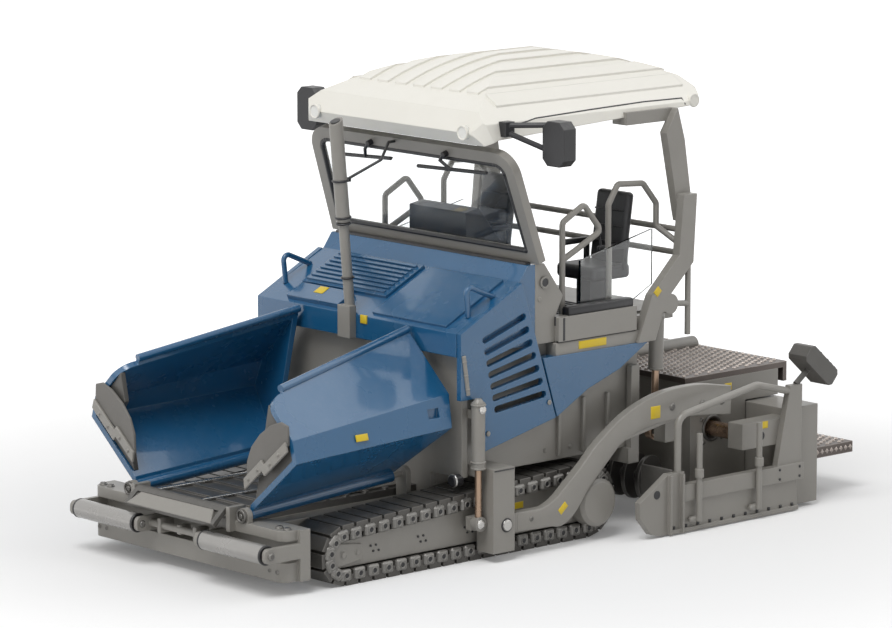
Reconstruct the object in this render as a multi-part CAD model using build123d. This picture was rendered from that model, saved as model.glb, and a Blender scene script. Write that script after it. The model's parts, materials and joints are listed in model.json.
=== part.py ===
"""Asphalt paver, a die-cast collector's model at about 1:50.

Millimetres. +X is the driving direction, +Y the machine's left and +Z up. The origin is on the ground
under the middle of the model. Each piece is one solid, or a few like pieces, in its own STEP file.
"""
from build123d import *
import os
from math import atan2, cos, hypot, pi, radians, sin

# Fits
PIN_CLEARANCE = 0.1
GAP = 0.3
WALL = 1.0
SLACK = 0.04

# Tracks
IDLER_X = 48.0
IDLER_R = 4.9
SPROCKET_X = -4.4
SPROCKET_R = 6.3
TRACK_OUTER = 24.3
SHOE_WIDTH = 8.0
SHOE_COUNT = 48
SHOE_PITCH = 2.918
SHOE_SPLIT = 0.55
SHOE_DEPTH = 0.7
PLATE_DEPTH = 1.0
BELT_DEPTH = 2.5
LINK_WIDTH = 2.3
LINK_SHARE = 0.84
TRACK_INNER = TRACK_OUTER - SHOE_WIDTH

# Track frames and final drives
SIDE_PLATE = 1.3
SIDE_PLATE_INSET = 0.7
ROLLER_COUNT = 5
ROLLER_R = 1.3
HUB_R = 4.0
HUB_NECK_R = 3.2
HUB_FACE = TRACK_OUTER + 3.1
HUB_CHAMFER = 0.6

# Tractor frame
FRAME_FRONT = 55.5
FRAME_REAR = -14.0
FRAME_HALF = TRACK_INNER - GAP
FRAME_BOTTOM = 3.2
FRAME_TOP = 9.8
BASE_SCREW_X = 20.0
BASE_SCREW_R = 1.25
BASE_SCREW_DEPTH = 4.0
CORE_HALF = TRACK_OUTER - 1.7
CORE_BOTTOM = 13.6
CORE_TOP = 33.6
CORE_FRONT = 21.5
CORE_REAR = -17.3

# Hopper
BULKHEAD = 1.2
BULKHEAD_HALF = CORE_HALF + WALL
FLOOR_HALF = TRACK_INNER - 3.7
FLOOR_THICKNESS = 1.2
FLOOR_FRONT = 58.6
SLAT_PITCH = 4.2
SLAT_HEIGHT = 0.35
HINGE_Y = TRACK_INNER - 2.1
HINGE_FRONT_X = 60.4
HINGE_FRONT_Z = 11.4
HINGE_REAR_X = 26.4
HINGE_REAR_Z = 13.7
HINGE_PIN_R = 0.45
HINGE_BARREL_R = 0.95
HINGE_EAR_R = 1.25
HINGE_EAR_LENGTH = 1.0
WING_LOW_ANGLE = 40.0
WING_HIGH_ANGLE = 127.2
WING_LOW_FRONT = 15.2
WING_LOW_REAR = 13.4
WING_HIGH_FRONT = 12.2
WING_HIGH_REAR = 18.2
WING_STRIP_ANGLE = 106.0
WING_STRIP_SHARE = 0.3
WING_RIM_R = 0.65
WING_NOSE_R = 3.4
WING_TAIL = 4.0
WING_SLOT = (2.4, 1.5)
BAFFLE_WIDTH = 3.4
BAFFLE_STEP = 1.1
BAFFLE_THICKNESS = 0.9
BAFFLE_SETBACK = 0.4

# Front cross beam, push rollers and apron
BEAM_FRONT = 60.4
BEAM_HALF = TRACK_OUTER - GAP
BEAM_LOW = 2.2
BEAM_LOW_TOP = 5.3
BEAM_HIGH = 8.7
BEAM_TOP = 10.4
BEAM_WEB = 2.0
ROLLER_X = 63.45
ROLLER_Z = 7.1
PUSH_R = 1.55
PUSH_IN = 8.3
PUSH_OUT = BEAM_HALF - 0.4
PUSH_SHAFT_R = 0.5
FORK_THICKNESS = 0.8
FORK_HEIGHT = 2.4
BEAM_CORNER = 1.7
BEAM_PIPE_R = 0.6
APRON_HALF = HINGE_Y - 3.0
APRON_X = 60.9
APRON_Z = 11.9
APRON_DEPTH = 3.6
APRON_DROP = 42.0
APRON_THICKNESS = 0.8
APRON_PIN_R = 0.4
APRON_BARREL_R = 0.75
APRON_RIM = 0.9
APRON_TRAY = 0.4
APRON_EAR = 0.9

# Body panels
PANEL_OUTER = TRACK_OUTER + 0.95
HOOD_FRONT_X = 24.6
HOOD_FRONT_Z = 37.4
HOOD_BREAK_X = 10.8
HOOD_BREAK_Z = 44.2
HOOD_REAR_X = 7.4
HOOD_COWL_Z = 46.7
PAD_INSET = 0.6
LOUVRE_START = 5.4
LOUVRE_SPAN = (-19.0, 2.0)
LOUVRE_RISE = 0.5
FIN_COUNT = 8
FIN_PITCH = 1.1
FIN_WIDTH = 0.5
FIN_SPAN = (-18.2, 1.2)
FIN_RISE = 0.9
BOX_LENGTH = (0.8, 4.6)
BOX_SPAN = (-18.0, -5.0)
BOX_RISE = 0.8
LID_START = 1.0
LID_SPAN = (3.2, 21.0)
LID_RISE = 0.4
SIDE_LOW_FRONT = (19.5, 17.7)
SIDE_LOW_REAR = (3.6, 21.3)
SIDE_STEP_Z = 26.6
SIDE_STEP_X = 19.9
SLOT_COUNT = 7
SLOT_HEIGHT = 1.15
SLOT_TOP = ((19.2, 35.9), (10.9, 38.7))
SLOT_LOW = ((16.6, 24.3), (6.4, 25.5))

# Operator's platform
DECK_THICKNESS = 2.0
DECK_Z = CORE_TOP + DECK_THICKNESS
DECK_REAR = -27.5
DECK_REAR_HALF = CORE_HALF - 2.0
SCREEN_X = 8.3
SCREEN_Z = 48.8
SCREEN_HALF_LOW = PANEL_OUTER - 1.75
SCREEN_HALF_TOP = SCREEN_HALF_LOW - 0.7
SCREEN_HEIGHT = 15.2
SCREEN_LEAN = 18.4
SCREEN_FRAME = 2.0
SCREEN_DEPTH = 1.5
GLASS = 0.5

# Roof
ROOF_FRONT = 17.5
ROOF_REAR = -33.5
ROOF_HALF = CORE_HALF
ROOF_LOW = 66.4
ROOF_RIM = ROOF_LOW + 4.2
ROOF_TOP = ROOF_RIM + 7.4
ROOF_REAR_LOW = ROOF_LOW + 2.9
ROOF_CORNER = 4.0
ROOF_VISOR = 3.6
ROOF_SIDE = 2.6
ROOF_HOLLOW = ROOF_RIM + 0.4
ROOF_RIB = 0.35
LAMP_Y = 18.2
LAMP_R = 1.1
LAMP_PROUD = 0.3
MIRROR_ROOT_X = 12.2
MIRROR_FACE = (6.6, 9.2)
MIRROR_INNER = 27.8
MIRROR_OUTER = 32.8
MIRROR_ARM_R = 0.45
ROOF_RIB_WIDTH = 2.7
ROOF_RIB_PITCH = 4.4
ROOF_RIB_COUNT = 9
ROOF_RIB_FRONT = 11.0
ROOF_RIB_REAR = -31.0
POST_INNER = CORE_HALF + 1.4
POST_THICKNESS = 1.6
POST_FOOT_X = -14.6
POST_BACK_X = -18.4
POST_LOWER = (
    (POST_FOOT_X, DECK_Z - 4.2),
    (-17.8, DECK_Z + 3.4),
    (-24.0, DECK_Z + 9.4),
    (-25.0, DECK_Z + 19.4),
    (-28.0, DECK_Z + 19.4),
    (-27.3, DECK_Z + 8.0),
    (-21.2, DECK_Z + 2.3),
    (-18.6, DECK_Z - 4.2),
)
POST_UPPER = (
    (-25.2, DECK_Z + 16.4),
    (-22.4, ROOF_LOW - 1.0),
    (-25.0, ROOF_REAR_LOW),
    (-26.6, ROOF_LOW - 2.4),
    (-28.2, DECK_Z + 18.4),
    (-28.2, DECK_Z + 14.8),
    (-25.6, DECK_Z + 14.8),
)
POST_HEAD = 8.0
POST_BOSS_R = 1.7
HAND_RAIL_LOW = 31.4
GRAB_R = 0.5
GRAB_BEND = 0.9
ENTRY_LOOP = ((-1.0, 0), (-1.0, 16.8), (-5.8, 19.3), (-9.7, 14.6), (-5.4, 12.6), (-1.0, 10.6))
REAR_LOOP = ((-12.9, 0), (-12.9, 18.4), (-15.0, 21.6), (-20.8, 21.2), (-23.9, 17.6), (-23.9, 13.8))
CROSS_RAILS = (9.3, 13.2)
SIDE_GLASS = ((-3.7, DECK_Z + 2.0), (-3.7, DECK_Z + 10.4), (-20.0, DECK_Z + 14.0), (-20.0, DECK_Z + 4.8),
              (-14.4, DECK_Z + 2.0))
SEAT_FRONT = -11.0
SEAT_REAR = -19.5
SEAT_INNER = 9.5
SEAT_WIDTH = 9.0
SEAT_HEIGHT = 5.4
SEAT_CUSHION = 2.4
SEAT_BACK = 11.6
SEAT_BACK_LEAN = 1.9
SEAT_BACK_DEPTH = 1.8
SEAT_EDGE = 0.7
DASH_FRONT = 3.4
DASH_REAR = -4.5
DASH_RIGHT = -10.5
DASH_LEFT = 3.5
DASH_HEIGHT = 11.4
DASH_PANEL = 6.0

# Screed and its tow arms
TOW_X = 17.5
TOW_Z = 6.0
TOW_PIN_R = 0.9
TOW_REAR = 15.8
TOW_FRONT = 20.4
TOW_LOW = 1.6
TOW_HIGH = 15.4
POST_CHEEK = 0.6
ARM_INNER = TRACK_OUTER + 2.2
ARM_THICKNESS = 1.5
ARM_SHAPE = (
    (TOW_X + 1.6, TOW_Z - 1.5),
    (TOW_X + 1.6, TOW_Z + 1.5),
    (7.4, TOW_Z + 1.5),
    (-4.2, TOW_Z + 10.9),
    (-13.3, TOW_Z + 15.6),
    (-24.8, TOW_Z + 17.2),
    (-34.0, TOW_Z + 16.0),
    (-34.0, TOW_Z + 11.6),
    (-22.4, TOW_Z + 12.4),
    (-8.7, TOW_Z + 10.0),
    (4.6, TOW_Z - 1.9),
)
POST_FACE = ARM_INNER - GAP
SCREED_FRONT = -30.5
SCREED_MIDDLE = -43.6
SCREED_REAR = -51.5
SCREED_HALF = ARM_INNER - 4.5
SCREED_BOTTOM = 0.7
SCREED_TOP = 22.2
WALKWAY = 1.0
WALKWAY_FRONT = -29.2
WALKWAY_REAR = -53.6
WALKWAY_BAR_R = 1.3
TUBE_X = -35.6
TUBE_Z = 13.9
TUBE_R = 1.3
TUBE_BORE_R = 1.85
TUBE_REACH = 17.5
EXT_INNER = SCREED_HALF - 11.4
EXT_TOP = 17.4
END_INNER = SCREED_HALF + 9.4
END_THICKNESS = 1.2
END_FRONT = -8.6
END_BAR = 0.4
END_SHAPE = (
    (-13.2, 0.25),
    (-11.0, 0.8),
    (END_FRONT, 3.6),
    (END_FRONT + 0.2, 6.4),
    (-14.9, 10.4),
    (-18.6, 10.4),
    (-18.6, 6.0),
    (-45.4, 6.0),
    (-45.4, 0.25),
)
END_BAR_REAR = -46.6
END_BAR_FRONT = -18.4
END_BAR_LOW = 5.4
END_BAR_HIGH = 8.2
END_POST = ((-40.6, END_BAR_HIGH), (-46.4, END_BAR_HIGH), (-46.4, 21.6), (-43.6, 21.6))
END_CHANNEL = (-15.2, -18.0)
ROD_R = 0.5
GUARD_LINE = ((-17.6, 10.4), (-17.6, 19.6), (-36.0, 22.6), (-43.8, 20.6))
GUARD_R = 0.6
GUARD_BEND = 2.2
ROD_X = (-21.2, -35.3)
ROD_LOW = 1.8
ROD_HIGH = 16.6
PANEL_REACH = 3.2
PANEL_RISE = 2.9
PANEL_LEAN = 41.0
PANEL_SIZE = (8.4, 4.2, 3.2)
PANEL_CORNER = 0.6
STEP_REAR = -65.0
STEP_INNER = EXT_INNER + 0.4
STEP_OUTER = STEP_INNER + 16.0
STEP_Z = 6.6
STEP_THICKNESS = 1.9

# Screed lift cylinders
LIFT_Y = ARM_INNER - 4.1
LIFT_TOP_X = -22.1
LIFT_TOP_Z = 37.1
LIFT_EYE_X = -21.5
LIFT_EYE_Z = 15.5
LIFT_BARREL_R = 1.25
LIFT_BARREL_LENGTH = 11.4
LIFT_ROD_R = 0.6
LIFT_PIN_R = 0.45
LIFT_EYE_R = 1.6
LIFT_EYE_BORE = 1.1
LIFT_ENGAGED = 2.3

# Augers
AUGER_X = -24.0
AUGER_Z = 6.4
AUGER_R = 3.9
AUGER_SHAFT_R = 0.9
AUGER_IN = 3.0
AUGER_OUT = SCREED_HALF - 0.8
AUGER_FLIGHTS = 5
AUGER_FLIGHT = 0.7
GUIDE_FRONT = -14.6
GUIDE_REAR = -16.4
GUIDE_OUTER = CORE_HALF + 1.5
GUIDE_TOP = 27.4

# Levelling cylinders
LEVEL_X = 21.8
LEVEL_Y = TRACK_OUTER + 2.2
LEVEL_R = 1.1
LEVEL_TOP = 26.3
LEVEL_LOW = 15.4
LEVEL_ROD_R = 0.45
LEVEL_EYE_Z = 6.5
LEVEL_EYE_R = 1.2

# Exhaust
PIPE_Y = -1.5
PIPE_LOW = (24.6, 38.3)
PIPE_HIGH = (27.6, 70.4)
PIPE_R = 0.85
SLEEVE_R = 1.15
SLEEVE_START = 0.45
PIPE_SLASH = 2.4


def block(x0, x1, y0, y1, z0, z1):
    """Box between two corners."""
    return Pos((x0 + x1) / 2, (y0 + y1) / 2, (z0 + z1) / 2) * Box(abs(x1 - x0), abs(y1 - y0), abs(z1 - z0))


def slab_xz(points, y0, y1):
    """Outline seen from the side, as thick as y0 to y1."""
    outline = make_face(Polyline(*points, close=True))
    return extrude(Plane.XZ.offset(-y0) * outline, amount=-(y1 - y0))


def slab_yz(points, x0, x1):
    """Outline seen from the front, as long as x0 to x1."""
    outline = make_face(Polyline(*points, close=True))
    return extrude(Plane.YZ.offset(x0) * outline, amount=x1 - x0)


def rod(start, end, radius):
    """Round bar between two points."""
    axis = Vector(*end) - Vector(*start)
    return extrude(Plane(origin=start, z_dir=axis) * Circle(radius), amount=axis.length)


def bent_tube(points, radius, bend):
    """Round bar along a polyline with rounded corners."""
    path = FilletPolyline(*points, radius=bend)
    return sweep(Plane(origin=path @ 0, z_dir=path % 0) * Circle(radius), path=path)


def other_side(piece):
    """The same piece on the machine's right."""
    return mirror(piece, about=Plane.XZ)


def save(name, *pieces):
    """Write one node."""
    solids = [solid for piece in pieces for solid in piece.solids()]
    whole = solids[0] if len(solids) == 1 else Compound(children=solids)
    export_step(whole, os.path.join("parts", name + ".step"))


def save_pair(name, *pieces):
    """Write a node for each side."""
    save(name + "_left", *pieces)
    save(name + "_right", *[other_side(piece) for piece in pieces])


def save_both(name, *pieces):
    """Write like pieces of both sides as one node."""
    save(name, *pieces, *[other_side(piece) for piece in pieces])


def loop_point(turn_share, offset):
    """A point on the track's loop at a share of its length, moved inwards by the offset."""
    run = IDLER_X - SPROCKET_X
    top = pi / 2 - 2 * atan2(SPROCKET_R - IDLER_R, run)
    arc_front = (top + pi / 2) * IDLER_R
    arc_rear = (3 * pi / 2 - top) * SPROCKET_R
    place = turn_share % 1.0 * (2 * run + arc_front + arc_rear)
    if place < arc_front:
        turn = place / IDLER_R - pi / 2
        return IDLER_X + (IDLER_R - offset) * cos(turn), IDLER_R + (IDLER_R - offset) * sin(turn)
    place -= arc_front
    if place < run:
        front = (IDLER_X + (IDLER_R - offset) * cos(top), IDLER_R + (IDLER_R - offset) * sin(top))
        rear = (SPROCKET_X + (SPROCKET_R - offset) * cos(top), SPROCKET_R + (SPROCKET_R - offset) * sin(top))
        return tuple(a + (b - a) * place / run for a, b in zip(front, rear))
    place -= run
    if place < arc_rear:
        turn = top + place / SPROCKET_R
        return SPROCKET_X + (SPROCKET_R - offset) * cos(turn), SPROCKET_R + (SPROCKET_R - offset) * sin(turn)
    return SPROCKET_X + place - arc_rear, offset


def loop_slab(offset, y0, y1):
    """Filled loop, made smaller by the offset."""
    front = Pos(IDLER_X, IDLER_R) * Circle(IDLER_R - offset)
    rear = Pos(SPROCKET_X, SPROCKET_R) * Circle(SPROCKET_R - offset)
    outline = make_hull(front.edges() + rear.edges())
    return extrude(Plane.XZ.offset(-y0) * outline, amount=-(y1 - y0))


def toothed_loop(share, tooth, root, y0, y1):
    """Closed belt outline with one tooth per shoe. The share is the tooth's part of the pitch."""
    pitch = 1.0 / SHOE_COUNT
    half = pitch * share / 2
    points = []
    for shoe in range(SHOE_COUNT):
        middle = (shoe + 0.5) * pitch
        for step, depth in ((-half, root), (-half, tooth), (half, tooth), (half, root)):
            points.append(loop_point(middle + step, depth))
    return slab_xz(points, y0, y1)


def track():
    """Shoe belt in one piece: parted shoes, chain links along the outer edge and a plain inner band."""
    link_inner = TRACK_OUTER - LINK_WIDTH
    shoes = toothed_loop(1 - SHOE_SPLIT / SHOE_PITCH, 0, SHOE_DEPTH, TRACK_INNER, TRACK_OUTER)
    plates = shoes - loop_slab(PLATE_DEPTH, TRACK_INNER - 1, TRACK_OUTER + 1)
    links = loop_slab(PLATE_DEPTH, link_inner, TRACK_OUTER)
    links = links - toothed_loop(1 - LINK_SHARE, PLATE_DEPTH + SHOE_DEPTH, BELT_DEPTH, link_inner - 1, TRACK_OUTER + 1)
    band = loop_slab(PLATE_DEPTH, TRACK_INNER, link_inner)
    return plates + links + (band - loop_slab(BELT_DEPTH, TRACK_INNER - 1, link_inner + 1))


def track_wheels():
    """Idler, sprocket and bottom rollers inside the belt."""
    inner = TRACK_INNER + 1.2
    outer = TRACK_OUTER - SIDE_PLATE_INSET - SIDE_PLATE - GAP
    wheels = []
    for x, z, radius in ((IDLER_X, IDLER_R, IDLER_R), (SPROCKET_X, SPROCKET_R, SPROCKET_R)):
        size = radius - BELT_DEPTH - PIN_CLEARANCE
        wheels.append(rod((x, inner, z), (x, outer, z), size))
    first = SPROCKET_X + SPROCKET_R + ROLLER_R
    last = IDLER_X - IDLER_R - ROLLER_R
    for number in range(ROLLER_COUNT):
        x = first + (last - first) * number / (ROLLER_COUNT - 1)
        z = BELT_DEPTH + PIN_CLEARANCE + ROLLER_R
        wheels.append(rod((x, inner, z), (x, outer, z), ROLLER_R))
    return wheels


def track_frame(wheels):
    """Side plate inside the belt, with a beam behind it and the final drive's hub in front."""
    face = TRACK_OUTER - SIDE_PLATE_INSET
    room = loop_slab(BELT_DEPTH + GAP, TRACK_INNER - GAP, face)
    plate = room & block(SPROCKET_X - SPROCKET_R, IDLER_X + IDLER_R, face - SIDE_PLATE, face, 0, 20)
    beam_low = BELT_DEPTH + 2 * PIN_CLEARANCE + 2 * ROLLER_R
    beam = room & block(SPROCKET_X + 5, IDLER_X - 5, FRAME_HALF, face - SIDE_PLATE, beam_low, 20)
    for wheel in wheels:
        beam = beam - wheel
    neck_end = TRACK_OUTER + GAP
    hub = rod((SPROCKET_X, face, SPROCKET_R), (SPROCKET_X, neck_end, SPROCKET_R), HUB_NECK_R)
    cover = rod((SPROCKET_X, neck_end, SPROCKET_R), (SPROCKET_X, HUB_FACE, SPROCKET_R), HUB_R)
    cover = chamfer(cover.edges().group_by(Axis.Y)[-1], HUB_CHAMFER)
    return plate + beam + hub + cover


def chassis():
    """Main casting between the tracks, with the screw hole for the display base."""
    body = block(FRAME_REAR, FRAME_FRONT, -FRAME_HALF, FRAME_HALF, FRAME_BOTTOM, FRAME_TOP)
    hole = rod((BASE_SCREW_X, 0, FRAME_BOTTOM), (BASE_SCREW_X, 0, FRAME_BOTTOM + BASE_SCREW_DEPTH), BASE_SCREW_R)
    return body - hole


def body_core():
    """Casting under the hood and the deck, carried by the chassis."""
    waist = block(FRAME_REAR, CORE_FRONT, -FRAME_HALF, FRAME_HALF, FRAME_TOP, CORE_BOTTOM)
    return waist + block(CORE_REAR, CORE_FRONT, -CORE_HALF, CORE_HALF, CORE_BOTTOM, CORE_TOP)


def bulkhead():
    """Rear wall of the hopper."""
    low = block(CORE_FRONT, CORE_FRONT + BULKHEAD, -FRAME_HALF, FRAME_HALF, FRAME_TOP, CORE_BOTTOM)
    front = CORE_FRONT + BULKHEAD
    return low + block(CORE_FRONT, front, -BULKHEAD_HALF, BULKHEAD_HALF, CORE_BOTTOM, CORE_TOP)


def hopper_floor():
    """Conveyor floor with its slats."""
    top = FRAME_TOP + FLOOR_THICKNESS
    rear = CORE_FRONT + BULKHEAD
    floor = block(rear, FLOOR_FRONT, -FLOOR_HALF, FLOOR_HALF, FRAME_TOP, top)
    floor = floor - block(FRAME_FRONT, FLOOR_FRONT, -BEAM_HALF, BEAM_HALF, FRAME_TOP, BEAM_TOP)
    for number in range(int((FLOOR_FRONT - rear) / SLAT_PITCH)):
        x = rear + SLAT_PITCH * (number + 0.5)
        floor = floor + block(x - 0.4, x + 0.4, -FLOOR_HALF, FLOOR_HALF, top, top + SLAT_HEIGHT)
    return floor - front_beam()


def hinge_point(x, side=0.0, up=0.0):
    """Point on the wing's hinge line at a given x."""
    share = (x - HINGE_FRONT_X) / (HINGE_REAR_X - HINGE_FRONT_X)
    return x, HINGE_Y + side, HINGE_FRONT_Z + (HINGE_REAR_Z - HINGE_FRONT_Z) * share + up


def inset_outline(points, walls):
    """Outline with each side moved inwards by its own wall. The points run anticlockwise."""
    lines = []
    for (u0, v0), (u1, v1), wall in zip(points, points[1:] + points[:1], walls):
        length = hypot(u1 - u0, v1 - v0)
        du, dv = (u1 - u0) / length, (v1 - v0) / length
        lines.append((u0 - dv * wall, v0 + du * wall, du, dv))
    corners = []
    for (u0, v0, du0, dv0), (u1, v1, du1, dv1) in zip(lines[-1:] + lines[:-1], lines):
        reach = ((u1 - u0) * dv1 - (v1 - v0) * du1) / (du0 * dv1 - dv0 * du1)
        corners.append((u0 + du0 * reach, v0 + dv0 * reach))
    return corners


WING_FRONT_X = HINGE_FRONT_X - HINGE_EAR_LENGTH - GAP
WING_REAR_X = HOOD_FRONT_X + WALL


def wing_outline(x):
    """Outer outline of the wing at one station: hinge, crease, knee and top edge, as (y, z)."""
    share = (x - WING_FRONT_X) / (WING_REAR_X - WING_FRONT_X)
    low = WING_LOW_FRONT + (WING_LOW_REAR - WING_LOW_FRONT) * share
    high = WING_HIGH_FRONT + (WING_HIGH_REAR - WING_HIGH_FRONT) * share
    hinge = hinge_point(x)[1:]
    crease = step_along(hinge, WING_LOW_ANGLE, low)
    knee = step_along(crease, WING_STRIP_ANGLE, high * WING_STRIP_SHARE)
    return [hinge, crease, knee, step_along(crease, WING_HIGH_ANGLE, high)]


def step_along(point, angle, length):
    """Point at a distance and an angle from another one, in a plane."""
    return point[0] + length * cos(radians(angle)), point[1] + length * sin(radians(angle))


def wing_tail_x(point):
    """The wing's slanted rear end: further forward near the hinge."""
    hinge, crease = wing_outline(WING_REAR_X)[:2]
    du, dv = crease[0] - hinge[0], crease[1] - hinge[1]
    share = ((point[0] - hinge[0]) * du + (point[1] - hinge[1]) * dv) / (du * du + dv * dv)
    return WING_REAR_X + WING_TAIL * (1 - share)


def wing_prism(front_x, rear_wall, walls):
    """Tapered prism from a front station to the slanted rear end, with its sides moved in by walls."""
    front = inset_outline(wing_outline(front_x), walls)
    rear = inset_outline(wing_outline(WING_REAR_X), walls)
    front_face = make_face(Polyline(*[(front_x, y, z) for y, z in front], close=True))
    rear_points = [(wing_tail_x(point) + rear_wall, *point) for point in rear]
    rear_face = make_face(Polyline(*rear_points, close=True))
    return loft([front_face, rear_face], ruled=True)


def nose_cutter():
    """What is taken off the panel's upper front corner to round it, in the panel's own plane."""
    corner = (WING_FRONT_X, *wing_outline(WING_FRONT_X)[3])
    normal = (0, *step_along((0, 0), WING_HIGH_ANGLE - 90, 1))
    depth = 4 * WALL
    square = block(-WALL, WING_NOSE_R, -WING_NOSE_R, WALL, -depth, depth)
    disc = Pos(WING_NOSE_R, -WING_NOSE_R, 0) * Cylinder(WING_NOSE_R, 3 * depth)
    return Plane(corner, x_dir=(-1, 0, 0), z_dir=normal) * (square - disc)


def hopper_wing():
    """Folding hopper side: a creased wall closed at the rear, with a rolled rim, on a hinge barrel."""
    open_side = -4.0
    shell = wing_prism(WING_FRONT_X, 0, (0, 0, 0, 0))
    shell = shell - wing_prism(WING_FRONT_X + WALL, WALL, (WALL, WALL, WALL, open_side))
    shell = shell - nose_cutter()
    hinge, crease, knee, top = wing_outline(WING_REAR_X)
    slot_y, slot_z = ((a + b) / 2 for a, b in zip(crease, knee))
    slot_x = WING_REAR_X + WING_SLOT[0] * 1.4
    slot = Pos(slot_x, slot_y, slot_z) * Box(WING_SLOT[0], WALL, WING_SLOT[1])
    tail = hinge_point(wing_tail_x(hinge))
    barrel = rod(hinge_point(WING_FRONT_X), tail, HINGE_BARREL_R)
    bore = rod(hinge_point(HINGE_FRONT_X), hinge_point(HINGE_REAR_X), HINGE_PIN_R + PIN_CLEARANCE)
    rim_front = wing_outline(WING_FRONT_X - WING_NOSE_R)[3]
    rim = rod((WING_FRONT_X - WING_NOSE_R, *rim_front), (wing_tail_x(top), *top), WING_RIM_R)
    return shell - slot + rim + barrel - bore


def wing_baffle():
    """Rubber flap that closes the front edge of a wing, stepped halfway along."""
    front = WING_FRONT_X - BAFFLE_SETBACK
    rear = front - BAFFLE_THICKNESS
    outline = wing_outline(rear)
    width = WALL + BAFFLE_WIDTH
    outer = inset_outline(outline, (WALL + SLACK, WALL, WALL + SLACK, WING_RIM_R))
    hinge, crease, knee, top = outline
    inner = inset_outline([hinge, crease, top], (width, width, -WALL))
    stepped = inset_outline([hinge, crease, top], (width - BAFFLE_STEP, width, -WALL))
    half = [(a + b) / 2 for a, b in zip(hinge, crease)]
    near = block(rear - WALL, front + WALL, 0, half[0], 0, half[1] + BAFFLE_WIDTH)
    band = slab_yz(outer, rear, front) - slab_yz(inner, rear - WALL, front + WALL)
    return band - (slab_yz(stepped, rear - WALL, front + WALL) & near)


def wing_hinge():
    """Fixed pin with an ear at each end."""
    hinge = rod(hinge_point(HINGE_FRONT_X), hinge_point(HINGE_REAR_X), HINGE_PIN_R)
    for x, foot in ((HINGE_FRONT_X, BEAM_TOP), (HINGE_REAR_X + HINGE_EAR_LENGTH, FRAME_TOP)):
        y, z = hinge_point(x)[1:]
        ear = rod((x, y, z), (x - HINGE_EAR_LENGTH, y, z), HINGE_EAR_R)
        ear = ear + block(x - HINGE_EAR_LENGTH, x, y - HINGE_EAR_R, y + HINGE_EAR_R, foot, z)
        hinge = hinge + (ear - block(x - 9, x + 9, y - 9, y + 9, foot - 9, foot))
    return hinge


def beam_bar(z0, z1):
    """Bar across the front with rounded front corners."""
    bar = block(FRAME_FRONT, BEAM_FRONT, -BEAM_HALF, BEAM_HALF, z0, z1)
    return fillet(bar.edges().filter_by(Axis.Z).group_by(Axis.X)[-1], BEAM_CORNER)


def front_beam():
    """Cross beam that carries the push rollers, the apron and the wing hinges."""
    web = block(FRAME_FRONT, FRAME_FRONT + BEAM_WEB, -BEAM_HALF, BEAM_HALF, BEAM_LOW, BEAM_TOP)
    beam = web + beam_bar(BEAM_LOW, BEAM_LOW_TOP) + beam_bar(BEAM_HIGH, BEAM_TOP)
    tip = ROLLER_X + FORK_HEIGHT / 2
    z0, z1 = ROLLER_Z - FORK_HEIGHT / 2, ROLLER_Z + FORK_HEIGHT / 2
    inner_fork = PUSH_IN - GAP
    outer_fork = PUSH_OUT + GAP
    ear_in = APRON_HALF + GAP
    for side in (-1, 1):
        for y in (inner_fork - FORK_THICKNESS, outer_fork):
            fork = block(FRAME_FRONT, tip, side * y, side * (y + FORK_THICKNESS), z0, z1)
            beam = beam + fillet(fork.edges().filter_by(Axis.Y).group_by(Axis.X)[-1], FORK_HEIGHT / 2 - GAP)
        end = block(FRAME_FRONT, FRAME_FRONT + BEAM_WEB, side * BEAM_HALF, side * (outer_fork + FORK_THICKNESS),
                    BEAM_LOW, BEAM_TOP)
        beam = beam + end
        beam = beam + block(BEAM_FRONT - BEAM_WEB, APRON_X + APRON_BARREL_R, side * ear_in,
                            side * (ear_in + APRON_EAR), BEAM_HIGH, APRON_Z + APRON_BARREL_R)
    wide = BEAM_HALF + 2 * FORK_THICKNESS
    beam = beam - rod((ROLLER_X, -wide, ROLLER_Z), (ROLLER_X, wide, ROLLER_Z), PUSH_SHAFT_R + PIN_CLEARANCE)
    pipe_x = BEAM_FRONT + 2 * BEAM_PIPE_R
    beam = beam + rod((pipe_x, -inner_fork, ROLLER_Z), (pipe_x, inner_fork, ROLLER_Z), BEAM_PIPE_R)
    return beam + rod((APRON_X, -ear_in - APRON_EAR, APRON_Z), (APRON_X, ear_in + APRON_EAR, APRON_Z), APRON_PIN_R)


def push_roller():
    """Roller that pushes the lorry's wheels, on its shaft."""
    shell = rod((ROLLER_X, PUSH_IN, ROLLER_Z), (ROLLER_X, PUSH_OUT, ROLLER_Z), PUSH_R)
    reach = GAP + FORK_THICKNESS
    shaft = rod((ROLLER_X, PUSH_IN - reach, ROLLER_Z), (ROLLER_X, PUSH_OUT + reach, ROLLER_Z), PUSH_SHAFT_R)
    return shell + shaft


def apron_slab(along0, along1, up0, up1, y0, y1):
    """Plate in the apron's plane, between distances from the pin and heights over its underside."""
    drop = radians(APRON_DROP)
    outline = []
    for along, up in ((along0, up0), (along1, up0), (along1, up1), (along0, up1)):
        outline.append((APRON_X + along * cos(drop) + up * sin(drop), APRON_Z - along * sin(drop) + up * cos(drop)))
    return slab_xz(outline, y0, y1)


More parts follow.
